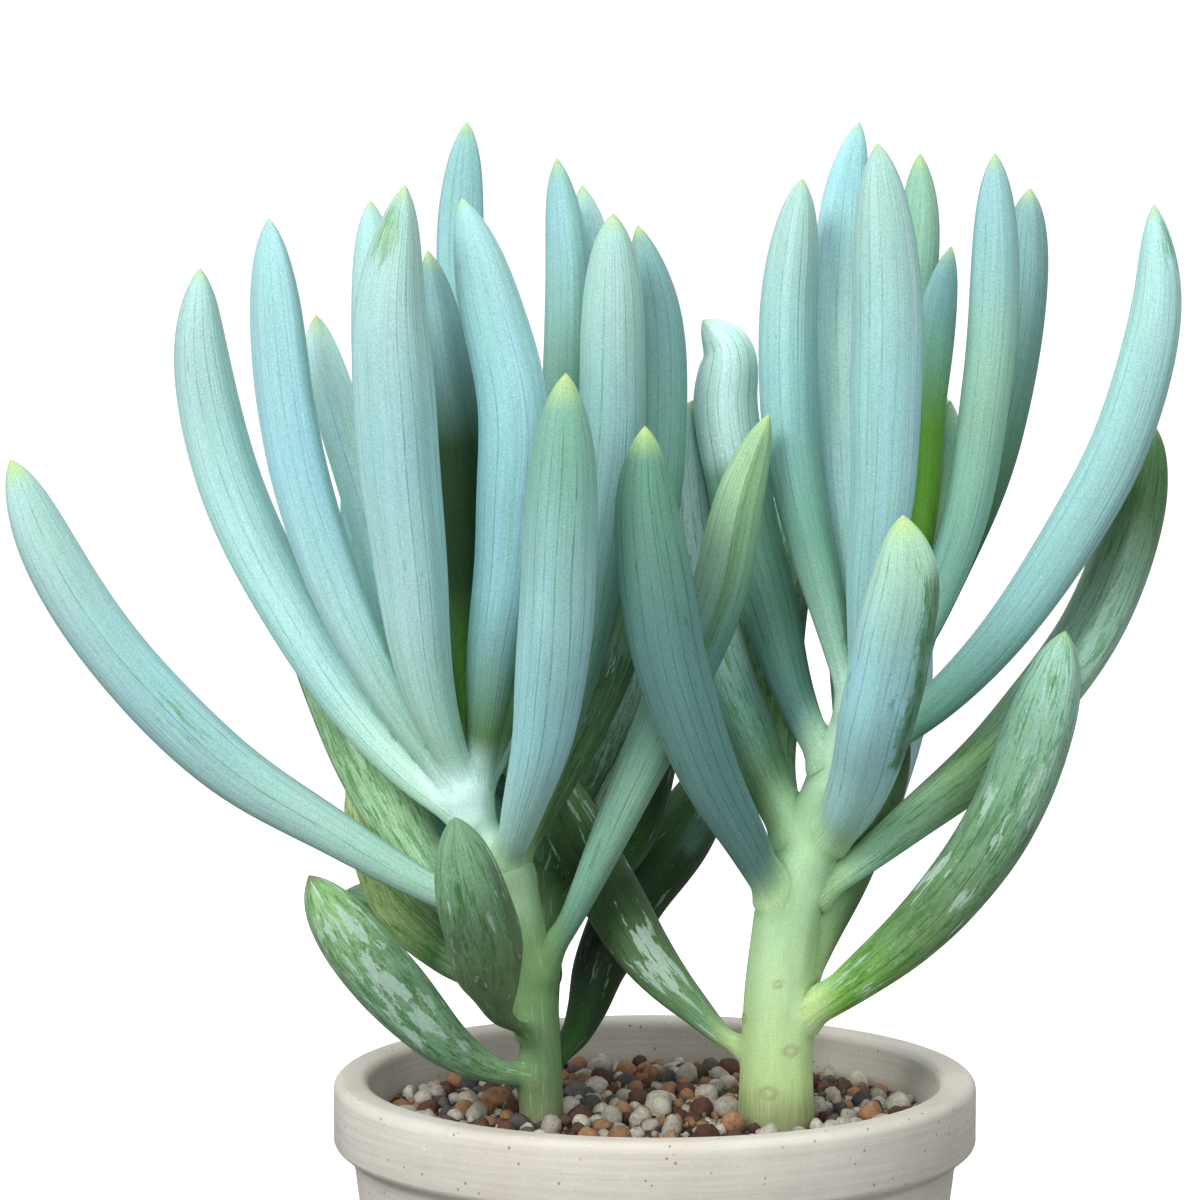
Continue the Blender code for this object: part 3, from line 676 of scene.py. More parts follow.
def tube_faces(rings, sides, first, tip):
    """Faces of a tube of rings that starts at vertex first, closed by a flat root and a pointed tip."""
    faces = [tuple(first + i for i in reversed(range(sides)))]
    for ring in range(rings):
        low = first + ring * sides
        for i in range(sides):
            j = (i + 1) % sides
            if ring < rings - 1:
                faces.append((low + i, low + j, low + sides + j, low + sides + i))
            else:
                faces.append((low + i, low + j, tip))
    return faces


def eased(points, width):
    """Points of a path smoothed with a bell of the given width in samples; both ends stay in place."""
    reach = int(3 * width)
    bell = np.exp(-0.5 * (np.arange(-reach, reach + 1) / width) ** 2)
    bell /= bell.sum()
    before = 2 * points[0] - points[reach:0:-1]
    after = 2 * points[-1] - points[-2 : -reach - 2 : -1]
    padded = np.concatenate([before, points, after])
    return np.stack([np.convolve(padded[:, k], bell, mode="valid") for k in range(3)], axis=1)


def fine_frames(control, stations, reference, width):
    """Centre, along, across and inward directions of a smoothed path at each station, and its length."""
    path = eased(smooth_path(control, np.linspace(0, 1, PATH_SAMPLES)), width)
    steps = lengths_along(path)
    where = np.asarray(stations) * steps[-1]

    def at(distance):
        distance = np.clip(distance, 0, steps[-1])
        return np.stack([np.interp(distance, steps, path[:, k]) for k in range(3)], axis=1)

    step = steps[-1] * SLOPE_STEP
    along = unit(at(where + step) - at(where - step))
    across = unit(reference - along * (along @ reference)[:, None])
    return at(where), along, across, np.cross(along, across), steps[-1]


def closer_at_ends(count):
    """Stations from 0 to nearly 1, closer together towards the root and the tip."""
    t = np.linspace(0.0, 1.0, count)
    return (0.4 * t + 0.6 * (0.5 - 0.5 * np.cos(math.pi * t))) * LAST_STATION


def skin_values(stations, angles, distance, **more):
    """A tube's vertex values, its tip last: place round and along it, a distance in mm, and others."""
    places = np.stack([np.tile(np.cos(angles), len(stations)), np.tile(np.sin(angles), len(stations))])
    places = np.stack([*places, np.repeat(stations, len(angles))], axis=1)
    places = np.concatenate([places, [UP]])
    return {"round": places, "reach": np.outer(distance * MILLIMETRES, (1, 0, 0)), **more}


def girth(waves, angles, stations, turns):
    """Girth round and along a tube as a share, waving gently about 1."""
    share = 1.0
    for (depth, count, twist), turn in zip(waves, turns):
        share = share + depth * np.cos(count * angles[None, :] + turn + twist * stations[:, None])
    return share


def bend(stations, slow, quick, turns):
    """Small wanderings of a leaf's middle to one side."""
    return SLOW_BEND * np.sin(slow * stations + turns[0]) + QUICK_BEND * np.sin(quick * stations + turns[1])


def fine_leaf(stem, name, control, width, form, number):
    """Points and vertex values of one leaf, with its soft planes, small bends and cusped tip."""
    chance = np.random.default_rng(700 + number)
    rear = name.startswith("rear")
    sides = HIDDEN_SIDES if rear else FINE_SIDES
    stations = closer_at_ends(HIDDEN_STATIONS if rear else FINE_STATIONS)
    control = np.asarray(control)
    reference = np.cross(UP, control[-1] - control[0])
    control[-1] += unit(control[-1] - control[-2]) * TIP_REACH
    centre, along, across, inward, length = fine_frames(control, stations, reference, LEAF_EASE)
    calm = np.sin(math.pi * stations) ** 0.8
    sway = chance.uniform(0, FULL_TURN, 4)
    sideways = bend(stations, 8, 21, sway[:2])
    depthways = bend(stations, 7, 19, sway[2:])
    centre = centre + (calm * sideways)[:, None] * across + (calm * depthways)[:, None] * inward
    half = width * BROADER.get(name, 1.0) / 2 * leaf_girth(stations, form)
    half = half * (1.0 - CUSP * np.exp(-(1.0 - stations) * length / CUSP_REACH))
    half = half * (1.0 + 0.012 * calm * np.sin(13 * stations + sway[1]))
    angles = (np.arange(sides) + 0.5) * FULL_TURN / sides
    planes = girth(LEAF_PLANES, angles, stations, chance.uniform(0, FULL_TURN, 3))
    fold, fold_angle, fold_from = FOLDS.get(name, (0.0, 0.0, 0.0))
    apart = (angles - math.radians(fold_angle) + math.pi) % FULL_TURN - math.pi
    fold_share = np.clip((stations - fold_from) / 0.25, 0, 1) * np.clip((0.97 - stations) / 0.12, 0, 1)
    planes -= fold * fold_share[:, None] * np.exp(-((apart / 0.30) ** 2))[None, :]
    wide = np.sign(np.cos(angles)) * np.abs(np.cos(angles)) ** SQUARENESS
    thick = np.sign(np.sin(angles)) * np.abs(np.sin(angles)) ** SQUARENESS
    thick = LEAF_THICKNESS * thick * np.where(thick > 0, INNER_FLATNESS, 1.0)
    lift = LEAF_THICKNESS * (1.0 - INNER_FLATNESS) / 2
    half = half[:, None]
    points = centre[:, None, :] + (half * planes * wide)[:, :, None] * across[:, None, :]
    points = points + (half * (planes * thick + lift))[:, :, None] * inward[:, None, :]
    points, above = flared_root(points, centre, stem)
    offset = (points - centre[:, None, :]) / np.maximum(half, 1e-5)[:, :, None]
    across_view = np.einsum("ijk,ik->ij", offset, unit(np.cross(VIEW_AHEAD, along)))
    tip = centre[-1] + along[-1] * length * (1.0 - LAST_STATION)
    points = np.concatenate([points.reshape(-1, 3), [tip]])
    from_tip = np.append(1.0 - np.repeat(stations, sides), 0.0) * length
    marks = skin_values(stations, angles, from_tip)
    seen_at = (marks["round"][:, 2], np.append(across_view, 0.0), np.append(-(offset @ VIEW_AHEAD), 0.0))
    marks["tint"], marks["traits"], marks["more"] = leaf_paint(
        stem, name, number, seen_at, points, np.append(above, 1.0)
    )
    return points, marks, len(stations), sides


def flared_root(points, centre, stem):
    """Leaf rings spread out where they meet the stem, and how far each point is above the stem's skin."""
    axis, radii = STEM_AXES[stem]
    apart = np.linalg.norm(points[:, :, None, :] - axis[None, None], axis=-1)
    above = apart.min(axis=-1) - radii[apart.argmin(axis=-1)]
    spread = FLARE * np.clip(1.0 - np.clip(above, 0, None) / FLARE_REACH, 0, 1) ** 2
    return points + spread[..., None] * unit(points - centre[:, None, :]), above


def blended(tints, stops, places):
    """Palette tints blended from stop to stop, at each place."""
    rows = np.array([TINTS[key] for key in tints.split()])
    return np.stack([np.interp(places, stops, rows[:, k]) for k in range(3)], axis=1)


def soft_band(value, low, high, edge):
    """1 between low and high, falling softly to 0 over the edge's width on either side."""
    return soft_step(np.clip(np.minimum(value - low, high - value) / edge + 0.5, 0.0, 1.0))


def leaf_paint(stem, name, number, seen_at, points, above):
    """Tint, traits (rubbing, veins, wax) and more (yellow tip, stem's skin, painted shade strength) at every
    vertex.

    seen_at gives each vertex's place along the leaf, across it and towards the viewer.
    """
    t, u, front = seen_at
    tints, rub, vein, ripe, wax = LOOKS.get(name, HIDDEN_LOOKS[number % len(HIDDEN_LOOKS)])
    tint = blended(tints, TINT_STOPS, t)
    wear = {"rub": np.full(len(t), rub), "wax": np.full(len(t), wax)}
    for kind, t_from, t_to, u_from, u_to, strength in MARKS.get(name, ()):
        share = strength * soft_band(t, t_from, t_to, EDGE_ALONG) * soft_band(u, u_from, u_to, EDGE_ACROSS)
        share = share * np.clip(front * FRONT_FADE + FRONT_START, 0.0, 1.0)
        if kind in wear:
            wear[kind] = np.maximum(wear[kind], share)
        else:
            tint = tint + share[:, None] * (np.array(TINTS[kind]) - tint)
    axis = STEM_AXES[stem][0]
    closest = np.linalg.norm(points[:, None, :] - axis[None], axis=-1).argmin(axis=1)
    fade = soft_step(np.clip(1.0 - np.clip(above, 0, None) / ROOT_FADE, 0.0, 1.0))
    stem_tint = blended(STEM_LOOKS[stem], STEM_STOPS, closest / (len(axis) - 1.0))
    tint = tint + fade[:, None] * (stem_tint - tint)
    traits = np.stack([wear["rub"] * (1.0 - fade), vein * (1.0 - fade), wear["wax"]], axis=1)
    more = np.stack([np.full(len(t), ripe), fade, np.full(len(t), PAINTED_SHADE_STRENGTH.get(name, 1.0))], axis=1)
    return tint, traits, more


def fine_stem(stem, roots):
    """Points and vertex values of a stem, swollen under each leaf and marked where old leaves fell."""
    chance = np.random.default_rng(len(stem))
    top_radius = STEMS[stem]["radii"][1]
    control = stem_path(stem)
    control.insert(0, control[0] - UP * (control[0][2] - SOIL_TOP + STEM_SUNK))
    stations = np.linspace(0.0, 1.0, STEM_FINE_STATIONS)
    centre, along, across, inward, length = fine_frames(control, stations, VIEW_RIGHT, STEM_EASE)
    radius = stem_radius(stem, stations)
    radius = radius * (1.0 + FOOT_SWELLING * np.exp(-((stations * length) / FOOT_REACH) ** 2))
    dome = np.clip((1.0 - stations) * length / (1.2 * top_radius), 0.0, 1.0)
    radius = radius * np.sqrt(np.clip(1.0 - (1.0 - dome) ** 2, 0.02, 1.0))
    sides = STEM_FINE_SIDES
    angles = np.arange(sides) * FULL_TURN / sides
    ribs = girth(STEM_RIBS, angles, stations, chance.uniform(0, FULL_TURN, 3))
    normal = np.cos(angles)[None, :, None] * across[:, None] + np.sin(angles)[None, :, None] * inward[:, None]
    points = centre[:, None, :] + (radius[:, None] * ribs)[:, :, None] * normal
    swell = np.zeros(points.shape[:2])
    for root, direction, wide in roots:
        spot = root + direction * np.interp(root[2], centre[:, 2], radius)
        swell += SWELLING[stem] * np.exp(-((np.linalg.norm(points - spot, axis=-1) / wide) ** 2))
    scar = np.zeros(points.shape[:2])
    for height, compass, size in SCARS[stem]:
        k = int(height * (len(stations) - 1))
        offset = (points - centre[k] - level_direction(compass) * radius[k]) / size
        offset[..., 2] *= SCAR_SQUASH
        distance = np.linalg.norm(offset, axis=-1)
        scar = np.maximum(scar, np.exp(-(((distance - 0.75) / 0.28) ** 2)))
        swell += SCAR_RIM * np.exp(-(((distance - 0.8) / 0.25) ** 2))
        swell -= SCAR_PIT * np.exp(-((distance / 0.6) ** 2))
    most = 1.3 * SWELLING[stem]
    points = points + (most * np.tanh(swell / most))[:, :, None] * normal
    tip = centre[-1] + along[-1] * radius[-1] * 0.4
    points = np.concatenate([points.reshape(-1, 3), [tip]])
    marks = skin_values(stations, angles, points[:, 2] - SOIL_TOP)
    marks["tint"] = blended(STEM_LOOKS[stem], STEM_STOPS, marks["round"][:, 2])
    marks["traits"] = np.outer(np.append(scar, 0.0), (1, 0, 0))
    marks["more"] = 0.0 * points
    return points, marks, len(stations), sides


def grow_shoot(stem, first_number):
    """Points, faces and vertex values of one stem with its leaves; the stem's faces come first."""
    leaves = all_leaves(stem)
    chance = np.random.default_rng(40 + first_number)
    roots = []
    for control, width, form in leaves.values():
        start = smooth_path(control, [0.0, 0.06])
        heading = unit(start[1] - start[0])
        heading[2] *= 0.3
        roots.append((start[0], unit(heading), width * form[0]))
    parts = [fine_stem(stem, roots)]
    for k, (name, leaf) in enumerate(leaves.items()):
        parts.append(fine_leaf(stem, name, *leaf, first_number + k))
    points, faces, marks, count = [], [], {}, 0
    for new_points, new_marks, rings, sides in parts:
        new_marks["seed"] = np.tile(chance.uniform(0, 50, 3), (len(new_points), 1))
        faces += tube_faces(rings, sides, count, count + len(new_points) - 1)
        points.append(new_points)
        count += len(new_points)
        for key, rows in new_marks.items():
            marks.setdefault("leaf_" + key, []).append(rows)
    marks = {key: np.concatenate(rows) for key, rows in marks.items()}
    return np.concatenate(points), faces, marks


def painted_shade_share(tree, points, normals):
    """Painted shade: how much of what a point faces is close foliage, 0 in the open to 1 deep among leaves.
    """
    turns = np.arange(SIGHT_LINES) * GOLDEN_TURN
    rises = np.sqrt((np.arange(SIGHT_LINES) + 0.5) / SIGHT_LINES)
    shares = np.zeros(len(points))
    for k, (point, normal) in enumerate(zip(points, normals)):
        side = unit(np.cross(normal, ODD_DIRECTION))
        other = np.cross(normal, side)
        flat = rises[:, None] * (np.cos(turns)[:, None] * side + np.sin(turns)[:, None] * other)
        lines = flat + np.sqrt(1.0 - rises**2)[:, None] * normal
        start = Vector(point + normal * SIGHT_START)
        met = 0.0
        for line in lines.tolist():
            distance = tree.ray_cast(start, line, SIGHT_REACH)[3]
            if distance is not None:
                met += 1.0 - SIGHT_FADE * distance / SIGHT_REACH
        shares[k] = met / SIGHT_LINES
    return shares


def make_shoots():
    """Each stem with its leaves as one piece in place of its CAD node, with painted shade where foliage hides
    it.
    """
    grown = {shoot: grow_shoot(stem, 40 * k) for k, (shoot, stem) in enumerate(SHOOTS.items())}
    all_points, all_faces = [], []
    for points, faces, marks in grown.values():
        first = sum(len(p) for p in all_points)
        all_points.append(points)
        all_faces += [tuple(first + i for i in face) for face in faces]
    tree = BVHTree.FromPolygons(np.concatenate(all_points).tolist(), all_faces)
    skins = (leaf_skin(), stem_skin())
    for shoot, stem in SHOOTS.items():
        points, faces, marks = grown[shoot]
        piece = mesh_object(shoot, points, faces, marks)
        normals = np.zeros(points.size, dtype=np.float32)
        piece.data.vertices.foreach_get("normal", normals)
        painted_shade = painted_shade_share(tree, points[::SIGHT_SKIP], normals.reshape(-1, 3)[::SIGHT_SKIP])
        more = marks["leaf_more"]
        more[:, 2] *= np.interp(np.arange(len(points)), np.arange(0, len(points), SIGHT_SKIP), painted_shade)
        layer = piece.data.attributes["leaf_more"]
        layer.data.foreach_set("vector", more.astype(np.float32).ravel())
        for skin in skins:
            piece.data.materials.append(skin)
        order = np.zeros(len(piece.data.polygons), dtype=np.int32)
        order[: STEM_FINE_STATIONS * STEM_FINE_SIDES + 1] = 1
        piece.data.polygons.foreach_set("material_index", order)
        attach(piece, "root")
        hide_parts(stem)


class Graph:
    """Adds and links the shader nodes of one material or world."""

    def __init__(self, owner, shader="Principled BSDF"):
        owner.use_nodes = True
        self.owner = owner
        self.tree = owner.node_tree
        self.shader = self.tree.nodes[shader]

    def put(self, socket, value):
        if isinstance(value, bpy.types.NodeSocket):
            self.tree.links.new(value, socket)
        else:
            socket.default_value = value

    def set(self, **values):
        """Sets the shader's own inputs."""
        for key, value in values.items():
            self.put(self.shader.inputs[key.replace("_", " ")], value)

    def add(self, kind, inputs=(), output=0, **settings):
        """One output of a new node; its inputs go by number or name."""
        node = self.tree.nodes.new("ShaderNode" + kind)
        for key, value in settings.items():
            setattr(node, key, value)
        for key, value in inputs.items() if isinstance(inputs, dict) else enumerate(inputs):
            self.put(node.inputs[key], value)
        return node.outputs[output]

    def values(self, name, output="Vector"):
        return self.add("Attribute", output=output, attribute_name=name)

    def split(self, vector):
        return self.add("SeparateXYZ", [vector]).node.outputs[:]

    def join(self, x, y, z):
        return self.add("CombineXYZ", (x, y, z))

    def sum(self, operation, *terms):
        return self.add("Math", terms, operation=operation)

    def times(self, first, *others):
        for other in others:
            first = self.sum("MULTIPLY", first, other)
        return first

    def plus(self, first, *others):
        for other in others:
            first = self.sum("ADD", first, other)
        return first

    def less(self, first, other):
        return self.sum("SUBTRACT", first, other)

    def vector(self, operation, a, b):
        return self.add("VectorMath", (a, b), operation=operation)

    def span(self, value, low, high, to_low=0.0, to_high=1.0):
        """value taken smoothly from low..high to to_low..to_high, and held beyond."""
        return self.add("MapRange", (value, low, high, to_low, to_high), interpolation_type="SMOOTHSTEP")

    def noise(self, vector, scale, detail=2.0, roughness=0.5):
        inputs = {"Vector": vector, "Scale": scale, "Detail": detail, "Roughness": roughness}
        return self.add("TexNoise", inputs, "Fac")

    def cells(self, vector, scale, output="Distance"):
        return self.add("TexVoronoi", {"Vector": vector, "Scale": scale}, output)

    def stretched(self, around, along, shift=(0.0, 0.0, 0.0)):
        """A leaf's or stem's own places, scaled round it and along it, and moved by its seed."""
        place = self.vector("MULTIPLY", self.values("leaf_round"), (around, around, along))
        return self.vector("ADD", place, self.vector("ADD", self.values("leaf_seed"), shift))

    def mix(self, share, a, b):
        a, b = ((*value, 1.0) if isinstance(value, tuple) else value for value in (a, b))
        return self.add("Mix", {0: share, 6: a, 7: b}, 2, data_type="RGBA")

    def shade(self, colour, factor):
        """A colour times a number from a socket."""
        return self.vector("MULTIPLY", colour, self.join(factor, factor, factor))

    def toned(self, share, colour, tint):
        """A colour partly multiplied by a tint."""
        return self.mix(share, colour, self.vector("MULTIPLY", colour, tint))

    def softened(self, radius):
        """The surface's direction, averaged over a radius, so that pieces that meet flow together."""
        return self.add("Bevel", {"Radius": radius}, samples=3)

    def bump(self, height, strength, distance, normal=None):
        inputs = {"Strength": strength, "Distance": distance, "Height": height}
        if normal is not None:
            inputs["Normal"] = normal
        return self.add("Bump", inputs)


def paint(name):
    """The graph of a new material, and the object's own coordinates in it."""
    g = Graph(bpy.data.materials.new(name))
    return g, g.add("TexCoord", output="Object")


def leaf_skin():
    """Chalky wax bloom over green skin: veins, soft stripes, powder grain, rubbed patches and a pale tip."""
    g, place = paint("leaf_skin")
    x, y = g.split(g.values("leaf_round"))[:2]
    from_tip = g.split(g.values("leaf_reach"))[0]
    rub, vein, wax = g.split(g.values("leaf_traits"))
    ripe, young, painted_shade = g.split(g.values("leaf_more"))
    flow = g.stretched(1.0, 3.0)
    streaks = g.stretched(13.0, 5.0)
    grain = g.noise(place, 3600.0, 1.0, 0.6)
    flecks = g.noise(place, 1700.0, 2.0, 0.6)
    fine_streaks = g.noise(streaks, 1.4, 3.0, 0.65)

    # Broad and fine stripes of bloom, and the shade deep among the leaves
    colour = g.shade(g.values("leaf_tint", "Color"), g.span(g.noise(flow, 0.9, 3.0), 0.3, 0.7, 0.93, 1.07))
    band = g.noise(g.stretched(4.5, 1.0), 0.45, 2.0)
    colour = g.toned(g.span(band, 0.42, 0.62, 0.0, 0.75), colour, (0.88, 0.95, 0.86))
    colour = g.toned(g.span(band, 0.44, 0.34, 0.0, 0.45), colour, (1.12, 1.06, 1.05))
    colour = g.shade(colour, g.span(fine_streaks, 0.25, 0.75, 0.94, 1.06))
    # Painted shade where close foliage surrounds the leaf, weaker near the stem
    deep_painted_shade = g.times(g.span(painted_shade, 0.55, 0.95), g.less(1.0, g.times(young, 0.7)), 0.62)
    colour = g.toned(deep_painted_shade, colour, (0.16, 0.36, 0.12))

    # Yellow-green tip
    tip_near = g.sum("DIVIDE", g.plus(from_tip, g.times(fine_streaks, 3.0)), g.plus(ripe, 0.5))
    colour = g.mix(g.times(g.span(tip_near, 1.6, 5.5, 0.85, 0.0), ripe), colour, TIP_GREEN)
    tip_end = g.times(g.span(from_tip, 0.3, 2.2, 0.7, 0.0), g.span(ripe, 0.0, 0.8))
    colour = g.mix(tip_end, colour, TIP_YELLOW)

    # Veins along the leaf, some of them faint, broken into dashes
    turn = g.times(g.sum("ARCTAN2", y, x), VEINS_ROUND / FULL_TURN)
    wander = g.times(g.noise(flow, 0.8, 1.0), 0.8)
    turn = g.plus(turn, wander, g.times(g.noise(streaks, 2.2, 2.0), 0.05))
    own = g.vector("ADD", g.join(g.sum("FLOOR", turn), 0.0, 0.0), g.values("leaf_seed"))
    drawn = g.span(g.add("TexWhiteNoise", {"Vector": own}, "Value"), 0.10, 0.70, 0.25, 1.0)
    off_line = g.sum("ABSOLUTE", g.less(g.sum("FRACT", turn), 0.5))
    dashes = g.span(g.noise(g.stretched(2.5, 13.0), 1.3, 2.0), 0.36, 0.54, 0.35, 1.0)
    line = g.times(g.span(off_line, 0.022, 0.070, 0.9, 0.0), drawn, dashes, vein, g.span(from_tip, 1.5, 6.0))
    colour = g.toned(line, colour, (0.30, 0.48, 0.47))

    # Where the bloom is rubbed off or thin
    patch = g.noise(g.stretched(2.6, 6.5), 1.5, 4.0, 0.72)
    patch = g.span(g.plus(patch, g.times(rub, 0.30), g.times(g.less(flecks, 0.5), 0.12)), 0.68, 0.76)
    scratch = g.noise(g.stretched(5.0, 9.0), 1.7, 4.0, 0.75)
    scratch = g.span(g.plus(scratch, g.times(rub, 0.12)), 0.60, 0.68)
    patch = g.times(patch, g.span(scratch, 0.0, 1.0, 0.6, 1.0))
    worn = g.sum("MAXIMUM", patch, g.times(scratch, g.span(rub, 0.0, 0.7)))
    faded = g.noise(g.stretched(4.0, 9.0, (3.1, 8.4, 1.7)), 1.5, 3.0, 0.72)
    faded = g.times(g.span(faded, 0.50, 0.60), g.span(rub, 0.2, 0.7, 0.0, 0.5))
    colour = g.toned(faded, colour, (1.45, 1.28, 1.75))
    colour = g.toned(g.times(worn, 0.9), colour, (0.24, 0.46, 0.18))

    # Patches of thick white wax, corky spots and the bloom's powder
    white = g.plus(g.noise(g.stretched(2.2, 6.0, (7.3, 2.1, 4.4)), 1.5, 4.0, 0.66), g.times(wax, 0.22))
    white = g.times(g.span(white, 0.66, 0.71), g.span(wax, 0.02, 0.4))
    colour = g.mix(g.times(white, 0.9), colour, g.mix(0.8, colour, THICK_BLOOM))
    spots = g.span(g.cells(g.vector("ADD", place, g.values("leaf_seed")), 95.0), 0.030, 0.050, 1.0, 0.0)
    spots = g.times(spots, g.span(g.noise(flow, 1.7), 0.57, 0.66), 0.7)
    colour = g.mix(spots, colour, CORKY_SPOT)
    colour = g.shade(colour, g.plus(g.times(grain, 0.65), g.times(flecks, 0.15), 0.60))

    height = g.less(g.times(grain, 0.25), g.times(line, 0.9))
    normal = g.bump(height, 0.55, 0.00010, g.softened(g.times(young, ROOT_SOFTNESS)))
    normal = g.bump(g.noise(streaks, 0.9, 1.0), 0.45, 0.00030, normal)
    g.set(Base_Color=colour, Normal=normal, Roughness=g.less(0.66, g.times(worn, 0.18)))
    g.set(Specular_IOR_Level=0.28, Sheen_Weight=0.06, Sheen_Roughness=0.6)
    return g.owner


def stem_skin():
    """Pale green stem skin, finely streaked along, browner at the soil and at old leaf scars."""
    g, place = paint("stem_skin")
    height = g.split(g.values("leaf_reach"))[0]
    scar = g.split(g.values("leaf_traits"))[0]
    painted_shade = g.split(g.values("leaf_more"))[2]
    grain = g.noise(place, 3300.0, 1.0, 0.6)
    blotch = g.noise(g.stretched(1.0, 6.0), 1.6, 4.0, 0.6)
    fine = g.noise(g.stretched(9.0, 7.0), 1.3, 4.0, 0.65)
    colour = g.shade(g.values("leaf_tint", "Color"), g.span(blotch, 0.3, 0.7, 0.95, 1.05))
    colour = g.mix(g.span(fine, 0.56, 0.72, 0.0, 0.3), colour, PALE_STREAK)
    colour = g.toned(g.span(fine, 0.28, 0.42, 0.2, 0.0), colour, (0.55, 0.70, 0.45))
    # Painted shade among foliage, which the stem's own values leave at zero
    colour = g.toned(g.span(painted_shade, 0.60, 1.0, 0.0, 0.4), colour, (0.30, 0.50, 0.16))
    bark_edge = g.plus(height, g.times(fine, 9.0))
    colour = g.mix(g.span(bark_edge, 4.0, 13.0, 0.75, 0.0), colour, BARK)
    colour = g.mix(g.times(scar, 0.6), colour, SCAR_BROWN)
    colour = g.shade(colour, g.plus(g.times(grain, 0.4), 0.80))
    relief = g.plus(fine, g.times(grain, 0.3))
    g.set(Base_Color=colour, Normal=g.bump(relief, 0.5, 0.00014, g.softened(ROOT_SOFTNESS)))
    g.set(Roughness=g.span(blotch, 0.3, 0.7, 0.52, 0.66), Specular_IOR_Level=0.4)
    return g.owner


def pot_clay():
    """Matte pale stoneware: fine mineral specks, faint turning lines and a slightly darker bare foot."""
    g, place = paint("pot_clay")
    height = g.split(place)[2]
    cloud = g.noise(place, 28.0, 4.0, 0.6)
    colour = g.mix(g.span(cloud, 0.35, 0.65), (0.58, 0.545, 0.48), (0.66, 0.63, 0.57))
    lines = g.noise(g.vector("MULTIPLY", place, (0.04, 0.04, 1.0)), 900.0, 2.0)
    colour = g.shade(colour, g.span(lines, 0.3, 0.7, 0.96, 1.03))
    size = g.noise(place, 260.0, 1.0)
    speck = g.times(g.span(g.cells(place, 620.0), 0.10, 0.20, 1.0, 0.0), g.span(size, 0.53, 0.60))
    colour = g.mix(g.times(speck, 0.75), colour, (0.20, 0.13, 0.08))
    pale = g.times(g.span(g.cells(place, 410.0), 0.08, 0.16, 1.0, 0.0), g.span(size, 0.36, 0.44, 1.0, 0.0))
    colour = g.mix(g.times(pale, 0.5), colour, (0.80, 0.78, 0.73))
    foot = g.span(g.plus(height, g.times(cloud, 0.004)), 0.004, 0.010, 0.45, 0.0)
    colour = g.mix(foot, colour, (0.44, 0.38, 0.31))
    fine = g.noise(place, 1800.0, 2.0, 0.6)
    colour = g.shade(colour, g.plus(g.times(fine, 0.16), 0.92))
    normal = g.bump(g.plus(fine, g.times(speck, 0.8)), 0.35, 0.00012)
    g.set(Base_Color=colour, Normal=g.bump(lines, 0.35, 0.00030, normal))
    g.set(Roughness=g.span(cloud, 0.3, 0.7, 0.62, 0.78), Specular_IOR_Level=0.4)
    return g.owner


def soil_crumb():
    """Dark peaty crumb between the grit."""
    g, place = paint("soil_crumb")
    crumb = g.noise(place, 420.0, 5.0, 0.7)
    colour = g.mix(g.span(crumb, 0.32, 0.66), (0.018, 0.012, 0.008), (0.085, 0.055, 0.033))
    red, green = g.split(g.cells(place, 700.0, "Color"))[:2]
    colour = g.mix(g.span(red, 0.86, 0.92), colour, (0.20, 0.14, 0.085))
    colour = g.mix(g.span(green, 0.94, 0.97), colour, (0.36, 0.32, 0.26))
    g.set(Base_Color=colour, Roughness=g.span(crumb, 0.3, 0.7, 0.8, 0.96))
    g.set(Normal=g.bump(crumb, 0.9, 0.0012), Specular_IOR_Level=0.25)
    return g.owner


def grit_stone():
    """Pumice, fired clay and lava grains: each grain's own tint, pitted and dusty."""
    g, place = paint("grit_stone")
    pits = g.cells(place, 1900.0)
    dust = g.noise(place, 700.0, 4.0, 0.65)
    colour = g.shade(g.values("grain_tint", "Color"), g.span(dust, 0.3, 0.7, 0.72, 1.22))
    colour = g.toned(g.span(pits, 0.05, 0.22, 0.55, 0.0), colour, (0.35, 0.32, 0.30))
    colour = g.mix(g.span(dust, 0.60, 0.74, 0.0, 0.4), colour, (0.10, 0.07, 0.045))
    relief = g.less(dust, g.span(pits, 0.0, 0.3, 0.7, 0.0))
    g.set(Base_Color=colour, Roughness=g.span(dust, 0.3, 0.7, 0.78, 0.95))
    g.set(Normal=g.bump(relief, 0.8, 0.0003), Specular_IOR_Level=0.3)
    return g.owner


def inside_radius(height):
    """Radius of the pot's inner wall at a height."""
    slope = (POT_RIM_RADIUS - LIP_PROUD - POT_BASE_RADIUS) / POT_HEIGHT
    return POT_RIM_RADIUS - LIP_PROUD - POT_WALL - slope * (POT_HEIGHT - EDGE_ROUND - height)


